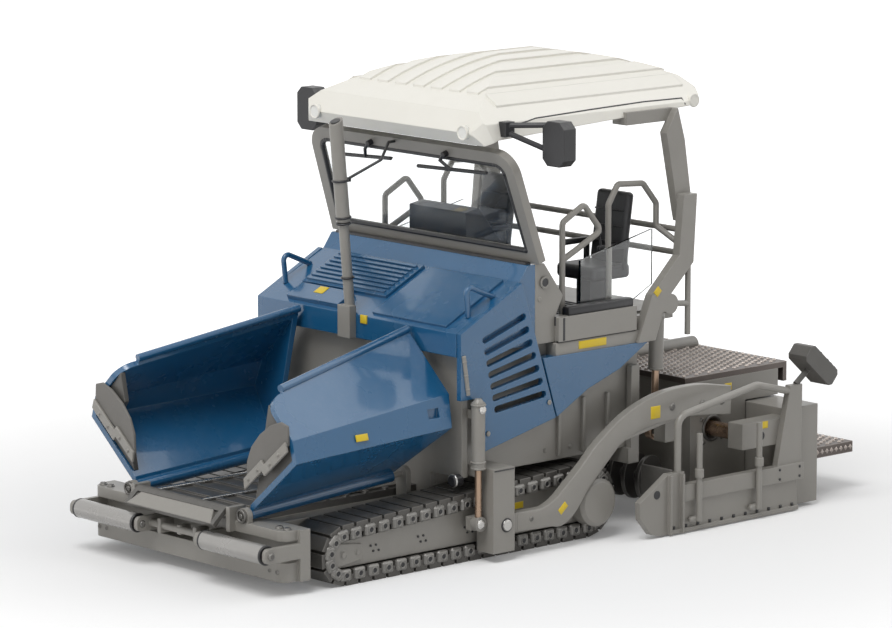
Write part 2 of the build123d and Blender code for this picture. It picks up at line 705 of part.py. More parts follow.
def apron():
    """Front flap of the hopper: a shallow tray on a pin along its rear edge."""
    plate = apron_slab(0, APRON_DEPTH, 0, APRON_THICKNESS, -APRON_HALF, APRON_HALF)
    tray = apron_slab(APRON_RIM, APRON_DEPTH - APRON_RIM, APRON_THICKNESS - APRON_TRAY, 2 * APRON_THICKNESS,
                      APRON_RIM - APRON_HALF, APRON_HALF - APRON_RIM)
    barrel = rod((APRON_X, -APRON_HALF, APRON_Z), (APRON_X, APRON_HALF, APRON_Z), APRON_BARREL_R)
    bore = rod((APRON_X, -APRON_HALF, APRON_Z), (APRON_X, APRON_HALF, APRON_Z), APRON_PIN_R + PIN_CLEARANCE)
    return plate - tray + barrel - bore


def hood():
    """Sloping engine cover with the cowl under the windscreen."""
    half = PANEL_OUTER - WALL
    outline = [
        (HOOD_FRONT_X, CORE_TOP),
        (HOOD_FRONT_X, HOOD_FRONT_Z),
        (HOOD_BREAK_X, HOOD_BREAK_Z),
        (HOOD_REAR_X + 1.6, HOOD_COWL_Z),
        (HOOD_REAR_X, HOOD_COWL_Z),
        (HOOD_REAR_X, CORE_TOP),
    ]
    return slab_xz(outline, -half, half)


def on_hood(along, y, up=0.0):
    """Point on the hood's slope, a distance back from its front edge."""
    slope = atan2(HOOD_BREAK_Z - HOOD_FRONT_Z, HOOD_FRONT_X - HOOD_BREAK_X)
    x = HOOD_FRONT_X - along * cos(slope) + up * sin(slope)
    return x, y, HOOD_FRONT_Z + along * sin(slope) + up * cos(slope)


def hood_pad(along0, along1, y0, y1, height):
    """Raised panel lying on the hood's slope."""
    corners = [on_hood(along0, 0), on_hood(along1, 0), on_hood(along1, 0, height), on_hood(along0, 0, height)]
    return slab_xz([(x, z) for x, y, z in corners], y0, y1)


def hood_panels():
    """Louvred panel, two lids and the smooth panel on the hood."""
    length = hypot(HOOD_FRONT_X - HOOD_BREAK_X, HOOD_BREAK_Z - HOOD_FRONT_Z)
    louvre = hood_pad(LOUVRE_START, length - PAD_INSET, *LOUVRE_SPAN, LOUVRE_RISE)
    for number in range(FIN_COUNT):
        start = LOUVRE_START + FIN_WIDTH + number * FIN_PITCH
        louvre = louvre + hood_pad(start, start + FIN_WIDTH, *FIN_SPAN, FIN_RISE)
    box = hood_pad(*BOX_LENGTH, *BOX_SPAN, BOX_RISE)
    lid = hood_pad(LID_START, length - PAD_INSET, *LID_SPAN, LID_RISE)
    return [louvre, box, lid]


def hood_handle():
    """Grab handle on the hood's edge."""
    front = on_hood(4.6, PANEL_OUTER - 2.6)
    rear = on_hood(10.6, PANEL_OUTER - 2.6)
    top = (front[0] + 0.6, front[1], front[2] + 5.2)
    return bent_tube([front, top, rear], 0.45, 0.9) - hood()


def side_panel():
    """Louvred side door beside the engine."""
    inner = PANEL_OUTER - WALL
    outline = [
        (HOOD_FRONT_X - 0.2, SIDE_STEP_Z),
        (HOOD_FRONT_X - 0.2, HOOD_FRONT_Z),
        (HOOD_BREAK_X + 0.3, HOOD_BREAK_Z),
        SIDE_LOW_REAR,
        SIDE_LOW_FRONT,
        (SIDE_STEP_X, SIDE_STEP_Z),
    ]
    panel = slab_xz(outline, inner, PANEL_OUTER)
    for number in range(SLOT_COUNT):
        share = number / (SLOT_COUNT - 1)
        front, rear = (between(a, b, share) for a, b in zip(SLOT_TOP, SLOT_LOW))
        panel = panel - slot_cutter(front, rear, inner, PANEL_OUTER)
    foot = block(6.0, 18.0, CORE_HALF, inner, 21.6, 22.8)
    return panel + foot


def between(start, end, share):
    """Point at a share of the way between two points."""
    return tuple(a + (b - a) * share for a, b in zip(start, end))


def slot_cutter(front, rear, y0, y1):
    """Round-ended slot between two points of a side panel."""
    bar = Pos(*between(front, rear, 0.5)) * Rot(0, 0, atan2(rear[1] - front[1], rear[0] - front[0]) * 180 / pi)
    outline = bar * SlotCenterToCenter(hypot(rear[0] - front[0], rear[1] - front[1]), SLOT_HEIGHT)
    return extrude(Plane.XZ.offset(-y0) * outline, amount=-(y1 - y0))


def skirt():
    """Blue panel behind the side door."""
    inner = PANEL_OUTER - WALL
    top_z = 31.4
    lean = (HOOD_BREAK_X - SIDE_LOW_REAR[0]) / (HOOD_BREAK_Z - SIDE_LOW_REAR[1])
    front_top = SIDE_LOW_REAR[0] + lean * (top_z - SIDE_LOW_REAR[1]) - GAP
    outline = [
        (front_top, top_z),
        (-17.3, top_z),
        (-10.8, 27.6),
        (-3.5, 25.1),
        (SIDE_LOW_REAR[0] - GAP, SIDE_LOW_REAR[1] + 0.1),
    ]
    return slab_xz(outline, CORE_HALF, PANEL_OUTER) - block(-30, SIDE_LOW_REAR[0] + 4, 0, inner, 0, 27.6)


def deck():
    """Platform floor with its side beams."""
    floor = block(CORE_REAR, HOOD_REAR_X, -CORE_HALF, CORE_HALF, CORE_TOP, DECK_Z)
    floor = floor + block(DECK_REAR, CORE_REAR, -DECK_REAR_HALF, DECK_REAR_HALF, CORE_TOP, DECK_Z)
    for side in (-1, 1):
        beam = block(POST_FOOT_X, 3.0, side * CORE_HALF, side * PANEL_OUTER, CORE_TOP, DECK_Z + 2.0)
        floor = floor + beam
    return floor


def side_console():
    """Grey wedge between the side door and the windscreen."""
    outline = [
        (HOOD_REAR_X, CORE_TOP),
        (HOOD_REAR_X, HOOD_COWL_Z),
        (5.4, HOOD_COWL_Z),
        (1.2, 41.0),
        (3.0, DECK_Z + 2.0),
        (3.0, CORE_TOP),
    ]
    return slab_xz(outline, CORE_HALF, PANEL_OUTER - WALL)


SCREEN_PLANE = Plane(
    origin=(SCREEN_X, 0, SCREEN_Z),
    x_dir=(0, 1, 0),
    z_dir=(cos(radians(SCREEN_LEAN)), 0, -sin(radians(SCREEN_LEAN))),
)


def screen_outline(grow):
    """Windscreen opening, grown by a margin."""
    low, top, high = SCREEN_HALF_LOW + grow, SCREEN_HALF_TOP + grow, SCREEN_HEIGHT + grow
    face = make_face(Polyline((-low, -grow), (low, -grow), (top, high), (-top, high), close=True))
    corners = face.vertices().group_by(Axis.Y)[-1]
    return fillet(corners, 2.0 + max(grow, 0))


def windscreen_frame():
    """Leaning grey frame of the windscreen."""
    outer = extrude(SCREEN_PLANE * screen_outline(SCREEN_FRAME), amount=-SCREEN_DEPTH)
    inner = extrude(SCREEN_PLANE * screen_outline(0), amount=-SCREEN_DEPTH)
    frame = outer - inner
    return frame - block(-50, 50, -50, 50, 0, HOOD_COWL_Z)


def windscreen_glass():
    """Clear pane in the frame."""
    plane = SCREEN_PLANE.offset(-(SCREEN_DEPTH - GLASS) / 2)
    return extrude(plane * screen_outline(0), amount=-GLASS)


def roof_shell(drop):
    """Crowned canopy with a visor at the front, its top lowered by the drop."""
    top = ROOF_TOP - drop
    brow = (ROOF_FRONT - 2.2, ROOF_RIM + 1.4 - drop)
    tail = (ROOF_REAR + 1.0, ROOF_REAR_LOW + ROOF_SIDE + 2.0 - drop)
    front = Polyline((ROOF_FRONT - ROOF_VISOR, ROOF_LOW + 0.8), (ROOF_FRONT - 1.4, ROOF_LOW),
                     (ROOF_FRONT, ROOF_LOW + 2.0), brow)
    crown = ThreePointArc(brow, (-6.0, top), tail)
    back = Polyline(tail, (ROOF_REAR, ROOF_REAR_LOW + ROOF_SIDE), (ROOF_REAR, ROOF_REAR_LOW))
    floor = Line((ROOF_REAR, ROOF_REAR_LOW), (ROOF_FRONT - ROOF_VISOR, ROOF_LOW + 0.8))
    profile = make_face(front + crown + back + floor)
    along = extrude(Plane.XZ.offset(-ROOF_HALF) * profile, amount=2 * ROOF_HALF)
    edge = ROOF_HALF - 0.8
    rim = ROOF_RIM - 0.4 - drop
    wall = Polyline((-edge, rim), (-ROOF_HALF, ROOF_LOW), (ROOF_HALF, ROOF_LOW), (edge, rim))
    dome = ThreePointArc((edge, rim), (0, top), (-edge, rim))
    across = extrude(Plane.YZ.offset(ROOF_REAR) * make_face(wall + dome), amount=ROOF_FRONT - ROOF_REAR)
    plan = RectangleRounded(ROOF_FRONT - ROOF_REAR, 2 * ROOF_HALF, ROOF_CORNER)
    middle = Plane((ROOF_FRONT + ROOF_REAR) / 2 * Vector(1, 0, 0) + Vector(0, 0, ROOF_LOW))
    return along & across & extrude(middle * plan, amount=ROOF_TOP - ROOF_LOW)


def roof():
    """Canopy with long ribs on its top, hollow below."""
    full = roof_shell(0)
    canopy = roof_shell(ROOF_RIB)
    for number in range(ROOF_RIB_COUNT):
        y = (number - (ROOF_RIB_COUNT - 1) / 2) * ROOF_RIB_PITCH
        half = ROOF_RIB_WIDTH / 2
        canopy = canopy + (full & block(ROOF_RIB_REAR, ROOF_RIB_FRONT, y - half, y + half, ROOF_HOLLOW, ROOF_TOP))
    inside = ROOF_HALF - ROOF_VISOR
    return canopy - block(ROOF_REAR + 3, ROOF_FRONT - ROOF_CORNER, -inside, inside, ROOF_LOW, ROOF_HOLLOW)


def roof_post():
    """Cranked lower half of a rear post, with the lift cylinder's pin and a vertical hand rail."""
    outer = POST_INNER + POST_THICKNESS
    lower = slab_xz(POST_LOWER, POST_INNER, outer)
    boss = rod((LIFT_TOP_X, POST_INNER, LIFT_TOP_Z), (LIFT_TOP_X, outer, LIFT_TOP_Z), POST_BOSS_R)
    arm = block(LIFT_TOP_X, POST_BACK_X, POST_INNER, outer, LIFT_TOP_Z - 1.2, LIFT_TOP_Z + 1.2)
    pin = rod((LIFT_TOP_X, LIFT_Y - 1.4, LIFT_TOP_Z), (LIFT_TOP_X, POST_INNER, LIFT_TOP_Z), LIFT_PIN_R)
    tie = block(POST_BACK_X, POST_FOOT_X, CORE_HALF, POST_INNER, CORE_TOP, DECK_Z)
    middle = (POST_INNER + outer) / 2
    rail_x = POST_LOWER[5][0] + GRAB_R
    rail = rod((rail_x, middle, POST_LOWER[5][1] + 1), (rail_x, middle, HAND_RAIL_LOW), GRAB_R)
    stay = rod((LIFT_TOP_X, middle, LIFT_TOP_Z), (rail_x, middle, LIFT_TOP_Z - GRAB_R), GRAB_R)
    return lower + boss + arm + pin + tie + rail + stay


def roof_post_top():
    """Upper half of a rear post, from the knee joint to the roof's underside."""
    inner = POST_INNER - POST_THICKNESS
    post = slab_xz(POST_UPPER, inner, POST_INNER)
    x0, x1 = POST_UPPER[2][0], POST_UPPER[1][0] + POST_HEAD
    head = block(x0, x1, ROOF_HALF - 2 * POST_THICKNESS, inner + GAP, ROOF_LOW + 0.8, ROOF_REAR_LOW)
    return post + head - roof_shell(ROOF_RIB)


def tow_arm():
    """Arm from the tow point to the screed, with the lug for the lift cylinder."""
    arm = slab_xz(ARM_SHAPE, ARM_INNER, ARM_INNER + ARM_THICKNESS)
    eye = rod((TOW_X, ARM_INNER, TOW_Z), (TOW_X, ARM_INNER + ARM_THICKNESS, TOW_Z), TOW_PIN_R + PIN_CLEARANCE)
    lug_in = LIFT_Y + LIFT_BARREL_R + 0.2
    lug = block(LIFT_EYE_X - 1.4, LIFT_EYE_X + 1.4, lug_in, ARM_INNER, LIFT_EYE_Z - 1.4, 21.0)
    pin = rod((LIFT_EYE_X, LIFT_Y - 1.3, LIFT_EYE_Z), (LIFT_EYE_X, lug_in, LIFT_EYE_Z), LIFT_PIN_R)
    link = block(ARM_SHAPE[6][0], SCREED_FRONT - 0.5, SCREED_HALF, ARM_INNER, TOW_Z + 12.2, TOW_Z + 15.6)
    return arm - eye + lug + pin + link


def tow_post():
    """Clevis on the tractor that holds the tow pivot, with the levelling rod's lug."""
    inner = TRACK_OUTER + GAP
    arm_outer = ARM_INNER + ARM_THICKNESS
    outer = arm_outer + POST_CHEEK
    plate = block(TOW_REAR, TOW_FRONT, inner, POST_FACE, TOW_LOW, TOW_HIGH)
    cheek = block(TOW_REAR, TOW_FRONT, arm_outer + PIN_CLEARANCE, outer, TOW_LOW, TOW_HIGH)
    front = block(TOW_FRONT - POST_CHEEK, TOW_FRONT, POST_FACE, outer, TOW_LOW, TOW_HIGH)
    cap = block(TOW_REAR, TOW_FRONT, POST_FACE, outer, TOW_HIGH - POST_CHEEK, TOW_HIGH)
    bracket = block(TOW_REAR, TOW_FRONT, CORE_HALF, inner, CORE_BOTTOM, TOW_HIGH)
    pin = rod((TOW_X, POST_FACE, TOW_Z), (TOW_X, outer + GAP, TOW_Z), TOW_PIN_R)
    lug = block(TOW_FRONT, LEVEL_X + 1.0, inner, LEVEL_Y - 0.7, LEVEL_EYE_Z - 1.1, LEVEL_EYE_Z + 1.1)
    return plate + cheek + front + cap + bracket + pin + lug


def levelling_cylinder():
    """Cylinder beside the tow post with its rod and eye."""
    barrel = rod((LEVEL_X, LEVEL_Y, LEVEL_LOW), (LEVEL_X, LEVEL_Y, LEVEL_TOP), LEVEL_R)
    stem = rod((LEVEL_X, LEVEL_Y, LEVEL_EYE_Z), (LEVEL_X, LEVEL_Y, LEVEL_LOW), LEVEL_ROD_R)
    eye = rod((LEVEL_X, LEVEL_Y - 0.7, LEVEL_EYE_Z), (LEVEL_X, LEVEL_Y + 0.7, LEVEL_EYE_Z), LEVEL_EYE_R)
    bracket = block(LEVEL_X - 0.9, CORE_FRONT, CORE_HALF, LEVEL_Y, LEVEL_TOP - 3.0, LEVEL_TOP - 1.6)
    return barrel + stem + eye + bracket


def screed_base():
    """Fixed middle of the screed with bores for the telescopic tubes."""
    body = block(SCREED_MIDDLE, SCREED_FRONT, -SCREED_HALF, SCREED_HALF, SCREED_BOTTOM, SCREED_TOP)
    roof_low = EXT_TOP + GAP
    body = body + block(SCREED_REAR, SCREED_MIDDLE, -SCREED_HALF, SCREED_HALF, roof_low, SCREED_TOP)
    for side in (-1, 1):
        inner = SCREED_HALF - TUBE_REACH - 1
        bore = rod((TUBE_X, side * inner, TUBE_Z), (TUBE_X, side * SCREED_HALF, TUBE_Z), TUBE_BORE_R)
        body = body - bore
    return body


def walkway():
    """Checker plate walkway on the screed."""
    plate = block(WALKWAY_REAR, WALKWAY_FRONT, -SCREED_HALF, SCREED_HALF, SCREED_TOP, SCREED_TOP + WALKWAY)
    lip = block(WALKWAY_REAR, WALKWAY_REAR + 0.8, -SCREED_HALF, SCREED_HALF, SCREED_TOP - 2.4, SCREED_TOP)
    top = SCREED_TOP + WALKWAY
    bar = rod((WALKWAY_REAR + 1, 0, top), (WALKWAY_FRONT - 1, 0, top), WALKWAY_BAR_R)
    bar = bar - block(WALKWAY_REAR, WALKWAY_FRONT, -SCREED_HALF, SCREED_HALF, 0, SCREED_TOP)
    return plate + lip + bar


def extension_body():
    """Sliding box of the screed extension with its telescopic tube's bracket."""
    front = SCREED_MIDDLE - GAP
    box_part = block(SCREED_REAR, front, EXT_INNER, END_INNER, SCREED_BOTTOM, EXT_TOP)
    arm = block(front, TUBE_X + 2.2, END_INNER - 3.4, END_INNER, TUBE_Z - 2.2, TUBE_Z + 2.2)
    sole = block(front, SCREED_FRONT - 0.5, SCREED_HALF + GAP + 0.3, END_INNER, SCREED_BOTTOM, SCREED_BOTTOM + 2.4)
    return box_part + arm + sole


def extension_tube():
    """Bright tube that runs in the base's bore."""
    tube_end = END_INNER - 3.4
    return rod((TUBE_X, tube_end - TUBE_REACH + 3.4 - 0.5, TUBE_Z), (TUBE_X, tube_end, TUBE_Z), TUBE_R)


def end_plate():
    """Side plate that shuts off the mat, with its channel, its bar, its sole and its rear post."""
    outer = END_INNER + END_THICKNESS
    plate = slab_xz(END_SHAPE, END_INNER, outer)
    bar = block(END_BAR_REAR, END_BAR_FRONT, END_INNER, outer + END_BAR, END_BAR_LOW, END_BAR_HIGH)
    sole = block(END_SHAPE[-1][0], END_SHAPE[0][0] - 2, outer, outer + END_BAR, END_SHAPE[0][1], END_SHAPE[0][1] + 0.7)
    post = slab_xz(END_POST, END_INNER, outer)
    channel = sole
    for x in END_CHANNEL:
        channel = channel + block(x, x + END_BAR, outer, outer + 2 * END_BAR, END_SHAPE[0][1], END_BAR_HIGH + 2)
    return plate + bar + post + channel


def extension_rail():
    """Guard tube over the extension."""
    y = END_INNER + END_THICKNESS / 2
    rail = bent_tube([(x, y, z) for x, z in GUARD_LINE], GUARD_R, GUARD_BEND)
    rods = []
    for x in ROD_X:
        side = END_INNER + END_THICKNESS + END_BAR + ROD_R
        collar = rod((x, side, END_BAR_HIGH + 1.0), (x, side, END_BAR_HIGH + 2.4), 1.5 * ROD_R)
        rods.append(rod((x, side, ROD_LOW), (x, side, ROD_HIGH), ROD_R) + collar)
    return [rail - end_plate(), *[stand - end_plate() for stand in rods]]


def screed_panel():
    """Operator's box on the extension."""
    y = END_INNER + END_THICKNESS / 2
    top_x, top_z = END_POST[2]
    stem = rod((top_x + 1.0, y, top_z), (top_x - 2.0, y, top_z + 2.2), ROD_R)
    body = Pos(top_x - PANEL_REACH, y, top_z + PANEL_RISE) * Rot(0, -PANEL_LEAN, 0) * Box(*PANEL_SIZE)
    body = chamfer(body.edges().filter_by(Axis.Y), PANEL_CORNER)
    return body + stem - end_plate()


def step():
    """Checker plate step behind the extension."""
    plate = block(STEP_REAR, SCREED_REAR - 2.0, STEP_INNER, STEP_OUTER, STEP_Z, STEP_Z + STEP_THICKNESS)
    arms = block(SCREED_REAR - 2.0, SCREED_REAR, STEP_INNER + 3, STEP_INNER + 5, STEP_Z, STEP_Z + STEP_THICKNESS)
    arms = arms + block(SCREED_REAR - 2.0, SCREED_REAR, STEP_OUTER - 5, STEP_OUTER - 3, STEP_Z, STEP_Z + STEP_THICKNESS)
    return plate + arms


LIFT_AXIS = Vector(LIFT_EYE_X - LIFT_TOP_X, 0, LIFT_EYE_Z - LIFT_TOP_Z).normalized()


def along_lift(distance):
    """Point on the lift cylinder's axis, down from its upper pin."""
    point = Vector(LIFT_TOP_X, LIFT_Y, LIFT_TOP_Z) + LIFT_AXIS * distance
    return point.X, point.Y, point.Z


def lift_barrel():
    """Barrel of a screed lift cylinder on its upper pin."""
    barrel = rod(along_lift(0), along_lift(LIFT_BARREL_LENGTH), LIFT_BARREL_R)
    eye = rod((LIFT_TOP_X, LIFT_Y - 0.8, LIFT_TOP_Z), (LIFT_TOP_X, LIFT_Y + 0.7, LIFT_TOP_Z), LIFT_EYE_R)
    pin = rod((LIFT_TOP_X, LIFT_Y - 2, LIFT_TOP_Z), (LIFT_TOP_X, LIFT_Y + 2, LIFT_TOP_Z), LIFT_PIN_R + PIN_CLEARANCE)
    bore = rod(along_lift(1.9), along_lift(LIFT_BARREL_LENGTH), LIFT_ROD_R + PIN_CLEARANCE)
    return barrel + eye - pin - bore


def lift_rod():
    """Rod of a screed lift cylinder with its open eye."""
    length = hypot(LIFT_EYE_X - LIFT_TOP_X, LIFT_EYE_Z - LIFT_TOP_Z)
    stem = rod(along_lift(LIFT_BARREL_LENGTH - LIFT_ENGAGED), along_lift(length), LIFT_ROD_R)
    eye = rod((LIFT_EYE_X, LIFT_Y - 0.7, LIFT_EYE_Z), (LIFT_EYE_X, LIFT_Y + 0.7, LIFT_EYE_Z), LIFT_EYE_R)
    bore = rod((LIFT_EYE_X, LIFT_Y - 2, LIFT_EYE_Z), (LIFT_EYE_X, LIFT_Y + 2, LIFT_EYE_Z), LIFT_EYE_BORE)
    return stem + eye - bore


def auger_frame():
    """Drive box and outer hangers of the augers."""
    drive = block(AUGER_X - 1.6, FRAME_REAR, -AUGER_IN + GAP, AUGER_IN - GAP, AUGER_Z - 1.8, AUGER_Z + 2.4)
    beam = block(FRAME_REAR - 3.0, FRAME_REAR, -AUGER_OUT, AUGER_OUT, AUGER_Z + 4.6, CORE_BOTTOM)
    drive = drive + block(FRAME_REAR - 3.0, FRAME_REAR, -AUGER_IN + GAP, AUGER_IN - GAP, AUGER_Z, CORE_BOTTOM)
    for side in (-1, 1):
        drive = drive + block(GUIDE_REAR, FRAME_REAR, side * AUGER_OUT, side * GUIDE_OUTER, AUGER_Z + 4.6, CORE_BOTTOM)
        drive = drive + block(GUIDE_REAR, GUIDE_FRONT, side * (CORE_HALF + GAP), side * GUIDE_OUTER, AUGER_Z + 4.6, GUIDE_TOP)
    return drive + beam


def auger():
    """Spreading screw: a shaft with slanted flights."""
    screw = rod((AUGER_X, AUGER_IN, AUGER_Z), (AUGER_X, AUGER_OUT, AUGER_Z), AUGER_SHAFT_R)
    pitch = (AUGER_OUT - AUGER_IN) / (AUGER_FLIGHTS + 0.5)
    for number in range(AUGER_FLIGHTS):
        y = AUGER_IN + pitch * (number + 0.75)
        disc = Pos(AUGER_X, y, AUGER_Z) * Rot(0, 0, 14) * Rot(90, 0, 0) * Cylinder(AUGER_R, AUGER_FLIGHT)
        screw = screw + disc
    return screw


def exhaust():
    """Tall exhaust pipe with its sleeve and bracket."""
    low, high = (PIPE_LOW[0], PIPE_Y, PIPE_LOW[1]), (PIPE_HIGH[0], PIPE_Y, PIPE_HIGH[1])
    start = tuple(a + (b - a) * SLEEVE_START for a, b in zip(low, high))
    pipe = rod(low, high, PIPE_R) + rod(start, high, SLEEVE_R)
    front, rear = PIPE_HIGH[0] + 2 * SLEEVE_R, PIPE_HIGH[0] - 2 * SLEEVE_R
    slash = [(front, PIPE_HIGH[1] - PIPE_SLASH), (front, PIPE_HIGH[1] + 2), (rear, PIPE_HIGH[1] + 2), (rear, PIPE_HIGH[1])]
    pipe = pipe - slab_xz(slash, PIPE_Y - 3, PIPE_Y + 3)
    bracket = block(HOOD_FRONT_X, HOOD_FRONT_X + 1.4, PIPE_Y - 1.5, PIPE_Y + 1.5, CORE_TOP, PIPE_LOW[1] + 0.6)
    return pipe + bracket


def seat():
    """Operator's seat on its pedestal, moulded in one piece."""
    base = DECK_Z + SEAT_HEIGHT
    top = base + SEAT_CUSHION
    outer = SEAT_INNER + SEAT_WIDTH
    cushion = block(SEAT_REAR, SEAT_FRONT, SEAT_INNER, outer, base, top)
    cushion = fillet(cushion.edges(), SEAT_EDGE)
    low, high = SEAT_REAR + SEAT_BACK_DEPTH, SEAT_REAR + SEAT_BACK_DEPTH - SEAT_BACK_LEAN
    tip = top + SEAT_BACK
    outline = [(low, base + SEAT_EDGE), (SEAT_REAR, base + SEAT_EDGE), (SEAT_REAR - SEAT_BACK_LEAN, tip), (high, tip)]
    back = fillet(slab_xz(outline, SEAT_INNER + SEAT_EDGE, outer - SEAT_EDGE).edges(), SEAT_EDGE)
    third = SEAT_WIDTH / 3
    pedestal = block(SEAT_REAR + 2, SEAT_FRONT - 2, SEAT_INNER + third, outer - third, DECK_Z, base + SEAT_EDGE)
    return cushion + back + pedestal


def dash():
    """Control console behind the windscreen."""
    top = DECK_Z + DASH_HEIGHT
    column = block(DASH_REAR + 1.5, DASH_FRONT - 1.4, DASH_RIGHT + 0.5, DASH_LEFT - 0.5, DECK_Z, top)
    outline = [(DASH_REAR, top), (DASH_FRONT, top), (DASH_FRONT, top + DASH_PANEL - 0.5), (DASH_FRONT - 2.9, top + DASH_PANEL)]
    return column + slab_xz(outline, DASH_RIGHT, DASH_LEFT)


def grab_rail():
    """Bent grab rails beside the seat: a looped one by the entry and one that ends on the roof post."""
    y = CORE_HALF - 0.9
    loop = [(x, y, DECK_Z + up) for x, up in ENTRY_LOOP]
    entry = bent_tube(loop[:-1], GRAB_R, GRAB_BEND) + rod(loop[-2], loop[-1], GRAB_R)
    y = DECK_REAR_HALF - GRAB_R
    rear = [(x, y, DECK_Z + up) for x, up in REAR_LOOP] + [(REAR_LOOP[-1][0] - 1.7, POST_INNER, DECK_Z + 11.0)]
    return [entry, bent_tube(rear, GRAB_R, GRAB_BEND) - roof_post()]


def rear_rail():
    """Cross rails between the roof posts."""
    x = (POST_LOWER[3][0] + POST_LOWER[4][0]) / 2
    return [rod((x, -POST_INNER, DECK_Z + up), (x, POST_INNER, DECK_Z + up), GRAB_R) for up in CROSS_RAILS]


def side_glass():
    """Clear weather panel between the grab rails and the roof post."""
    y = PANEL_OUTER - 2 * WALL
    return slab_xz(SIDE_GLASS, y - GLASS, y)


def mirror_arm():
    """Rear-view mirror on its two-arm bracket at the roof's front corner."""
    root_x = MIRROR_ROOT_X
    head_x = sum(MIRROR_FACE) / 2
    foot_y = ROOF_HALF + 0.8
    foot = block(root_x - 1, root_x + 1, ROOF_HALF - 1.4, foot_y, ROOF_LOW + 1.4, ROOF_LOW + 3.8)
    high, low = ROOF_LOW + 3.2, ROOF_LOW + 2.0
    reach = MIRROR_INNER + MIRROR_ARM_R
    arms = rod((root_x, foot_y - MIRROR_ARM_R, high), (head_x, reach, high + 0.2), MIRROR_ARM_R)
    arms = arms + rod((root_x, foot_y - MIRROR_ARM_R, low), (head_x, reach, low - 2.8), MIRROR_ARM_R)
    head = block(*MIRROR_FACE, MIRROR_INNER, MIRROR_OUTER, ROOF_LOW - 3.0, ROOF_LOW + 4.2)
    head = chamfer(head.edges().filter_by(Axis.X), 1.1)
    return foot + arms + head - roof_shell(0)


def roof_lamp():
    """Round lamps at the roof's corners."""
    lamp_z = ROOF_LOW + 2.0
    tail_z = ROOF_REAR_LOW + 1.4
    return [
        rod((ROOF_FRONT - ROOF_VISOR, LAMP_Y, lamp_z), (ROOF_FRONT + LAMP_PROUD, LAMP_Y, lamp_z), LAMP_R) - roof_shell(0),
        rod((ROOF_REAR - LAMP_PROUD, LAMP_Y, tail_z), (ROOF_REAR, LAMP_Y, tail_z), LAMP_R),
    ]


os.makedirs("parts", exist_ok=True)
wheels = track_wheels()
save("chassis", chassis())
save("body_core", body_core())
save("bulkhead", bulkhead())
save("hopper_floor", hopper_floor())
save("front_beam", front_beam())
save("apron", apron())
save("hood", hood())
save("hood_panels", *hood_panels())
save("deck", deck())
save("windscreen_frame", windscreen_frame())
save("windscreen_glass", windscreen_glass())
save("dash_console", dash())
save("roof", roof())
save("exhaust", exhaust())
save("auger_frame", auger_frame())
save("screed_base", screed_base())
save("walkway", walkway())
save_both("roof_lamps", *roof_lamp())
save_both("hood_handles", hood_handle())
save_both("track_wheels", *wheels)
save_both("track_frames", track_frame(wheels))
save_both("wing_hinges", wing_hinge())
save_both("side_panels", side_panel())
save_both("skirts", skirt())
save_both("side_consoles", side_console())
save_both("seats", seat())
save_both("grab_rails", *grab_rail())
save("rear_rails", *rear_rail())
save_both("side_glass", side_glass())
save_both("roof_posts", roof_post(), roof_post_top())
save_both("mirrors", mirror_arm())
save_both("tow_posts", tow_post())
save_both("levelling_cylinders", levelling_cylinder())
save_both("tow_arms", tow_arm())
save_pair("track", track())
save_pair("push_roller", push_roller())
save_pair("hopper_wing", hopper_wing())
save_pair("wing_baffle", wing_baffle())
save_pair("lift_barrel", lift_barrel())
save_pair("lift_rod", lift_rod())
save_pair("auger", auger())
save_pair("screed_extension", extension_body())
save_pair("extension_tube", extension_tube())
save_pair("end_plate", end_plate())
save_pair("extension_rail", *extension_rail())
save_pair("screed_panel", screed_panel())
save_pair("step", step())
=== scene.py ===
"""Looks of the asphalt paver model: camera, studio, paints and the small fittings."""
import bmesh
import bpy
import json
from math import atan2, cos, pi, radians, sin
from mathutils import Matrix, Vector


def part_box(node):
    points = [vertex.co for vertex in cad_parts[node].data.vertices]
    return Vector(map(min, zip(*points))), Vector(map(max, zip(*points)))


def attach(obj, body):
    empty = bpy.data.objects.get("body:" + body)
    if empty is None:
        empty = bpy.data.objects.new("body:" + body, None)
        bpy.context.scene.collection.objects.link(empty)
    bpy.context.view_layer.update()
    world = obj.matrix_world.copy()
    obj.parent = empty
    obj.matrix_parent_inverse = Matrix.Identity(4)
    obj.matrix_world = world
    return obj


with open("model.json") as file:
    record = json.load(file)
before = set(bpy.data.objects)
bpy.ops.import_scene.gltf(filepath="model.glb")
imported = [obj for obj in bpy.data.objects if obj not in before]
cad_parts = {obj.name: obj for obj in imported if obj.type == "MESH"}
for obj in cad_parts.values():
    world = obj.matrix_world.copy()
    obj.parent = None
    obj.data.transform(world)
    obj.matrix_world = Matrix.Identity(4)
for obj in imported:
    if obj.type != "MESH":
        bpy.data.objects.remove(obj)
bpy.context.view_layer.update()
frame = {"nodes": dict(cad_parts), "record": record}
MM = 0.001

# Camera, read from the photograph
CAMERA_AZIMUTH = 138.02
CAMERA_ELEVATION = 9.81
CAMERA_DISTANCE = 775.1 * MM
CAMERA_TARGET = Vector((4.55, -0.38, 35.15)) * MM
CAMERA_LENS = 188.77


def add_camera():
    """Long lens from the front left, a little above the ground."""
    data = bpy.data.cameras.new("camera")
    data.lens = CAMERA_LENS
    data.clip_start = 0.01
    camera = bpy.data.objects.new("camera", data)
    bpy.context.scene.collection.objects.link(camera)
    azimuth, elevation = radians(CAMERA_AZIMUTH), radians(CAMERA_ELEVATION)
    back = Vector((sin(azimuth) * cos(elevation), -cos(azimuth) * cos(elevation), sin(elevation)))
    camera.location = CAMERA_TARGET + back * CAMERA_DISTANCE
    camera.rotation_euler = back.to_track_quat("Z", "Y").to_euler()
    bpy.context.scene.camera = camera


add_camera()


# Shader helpers

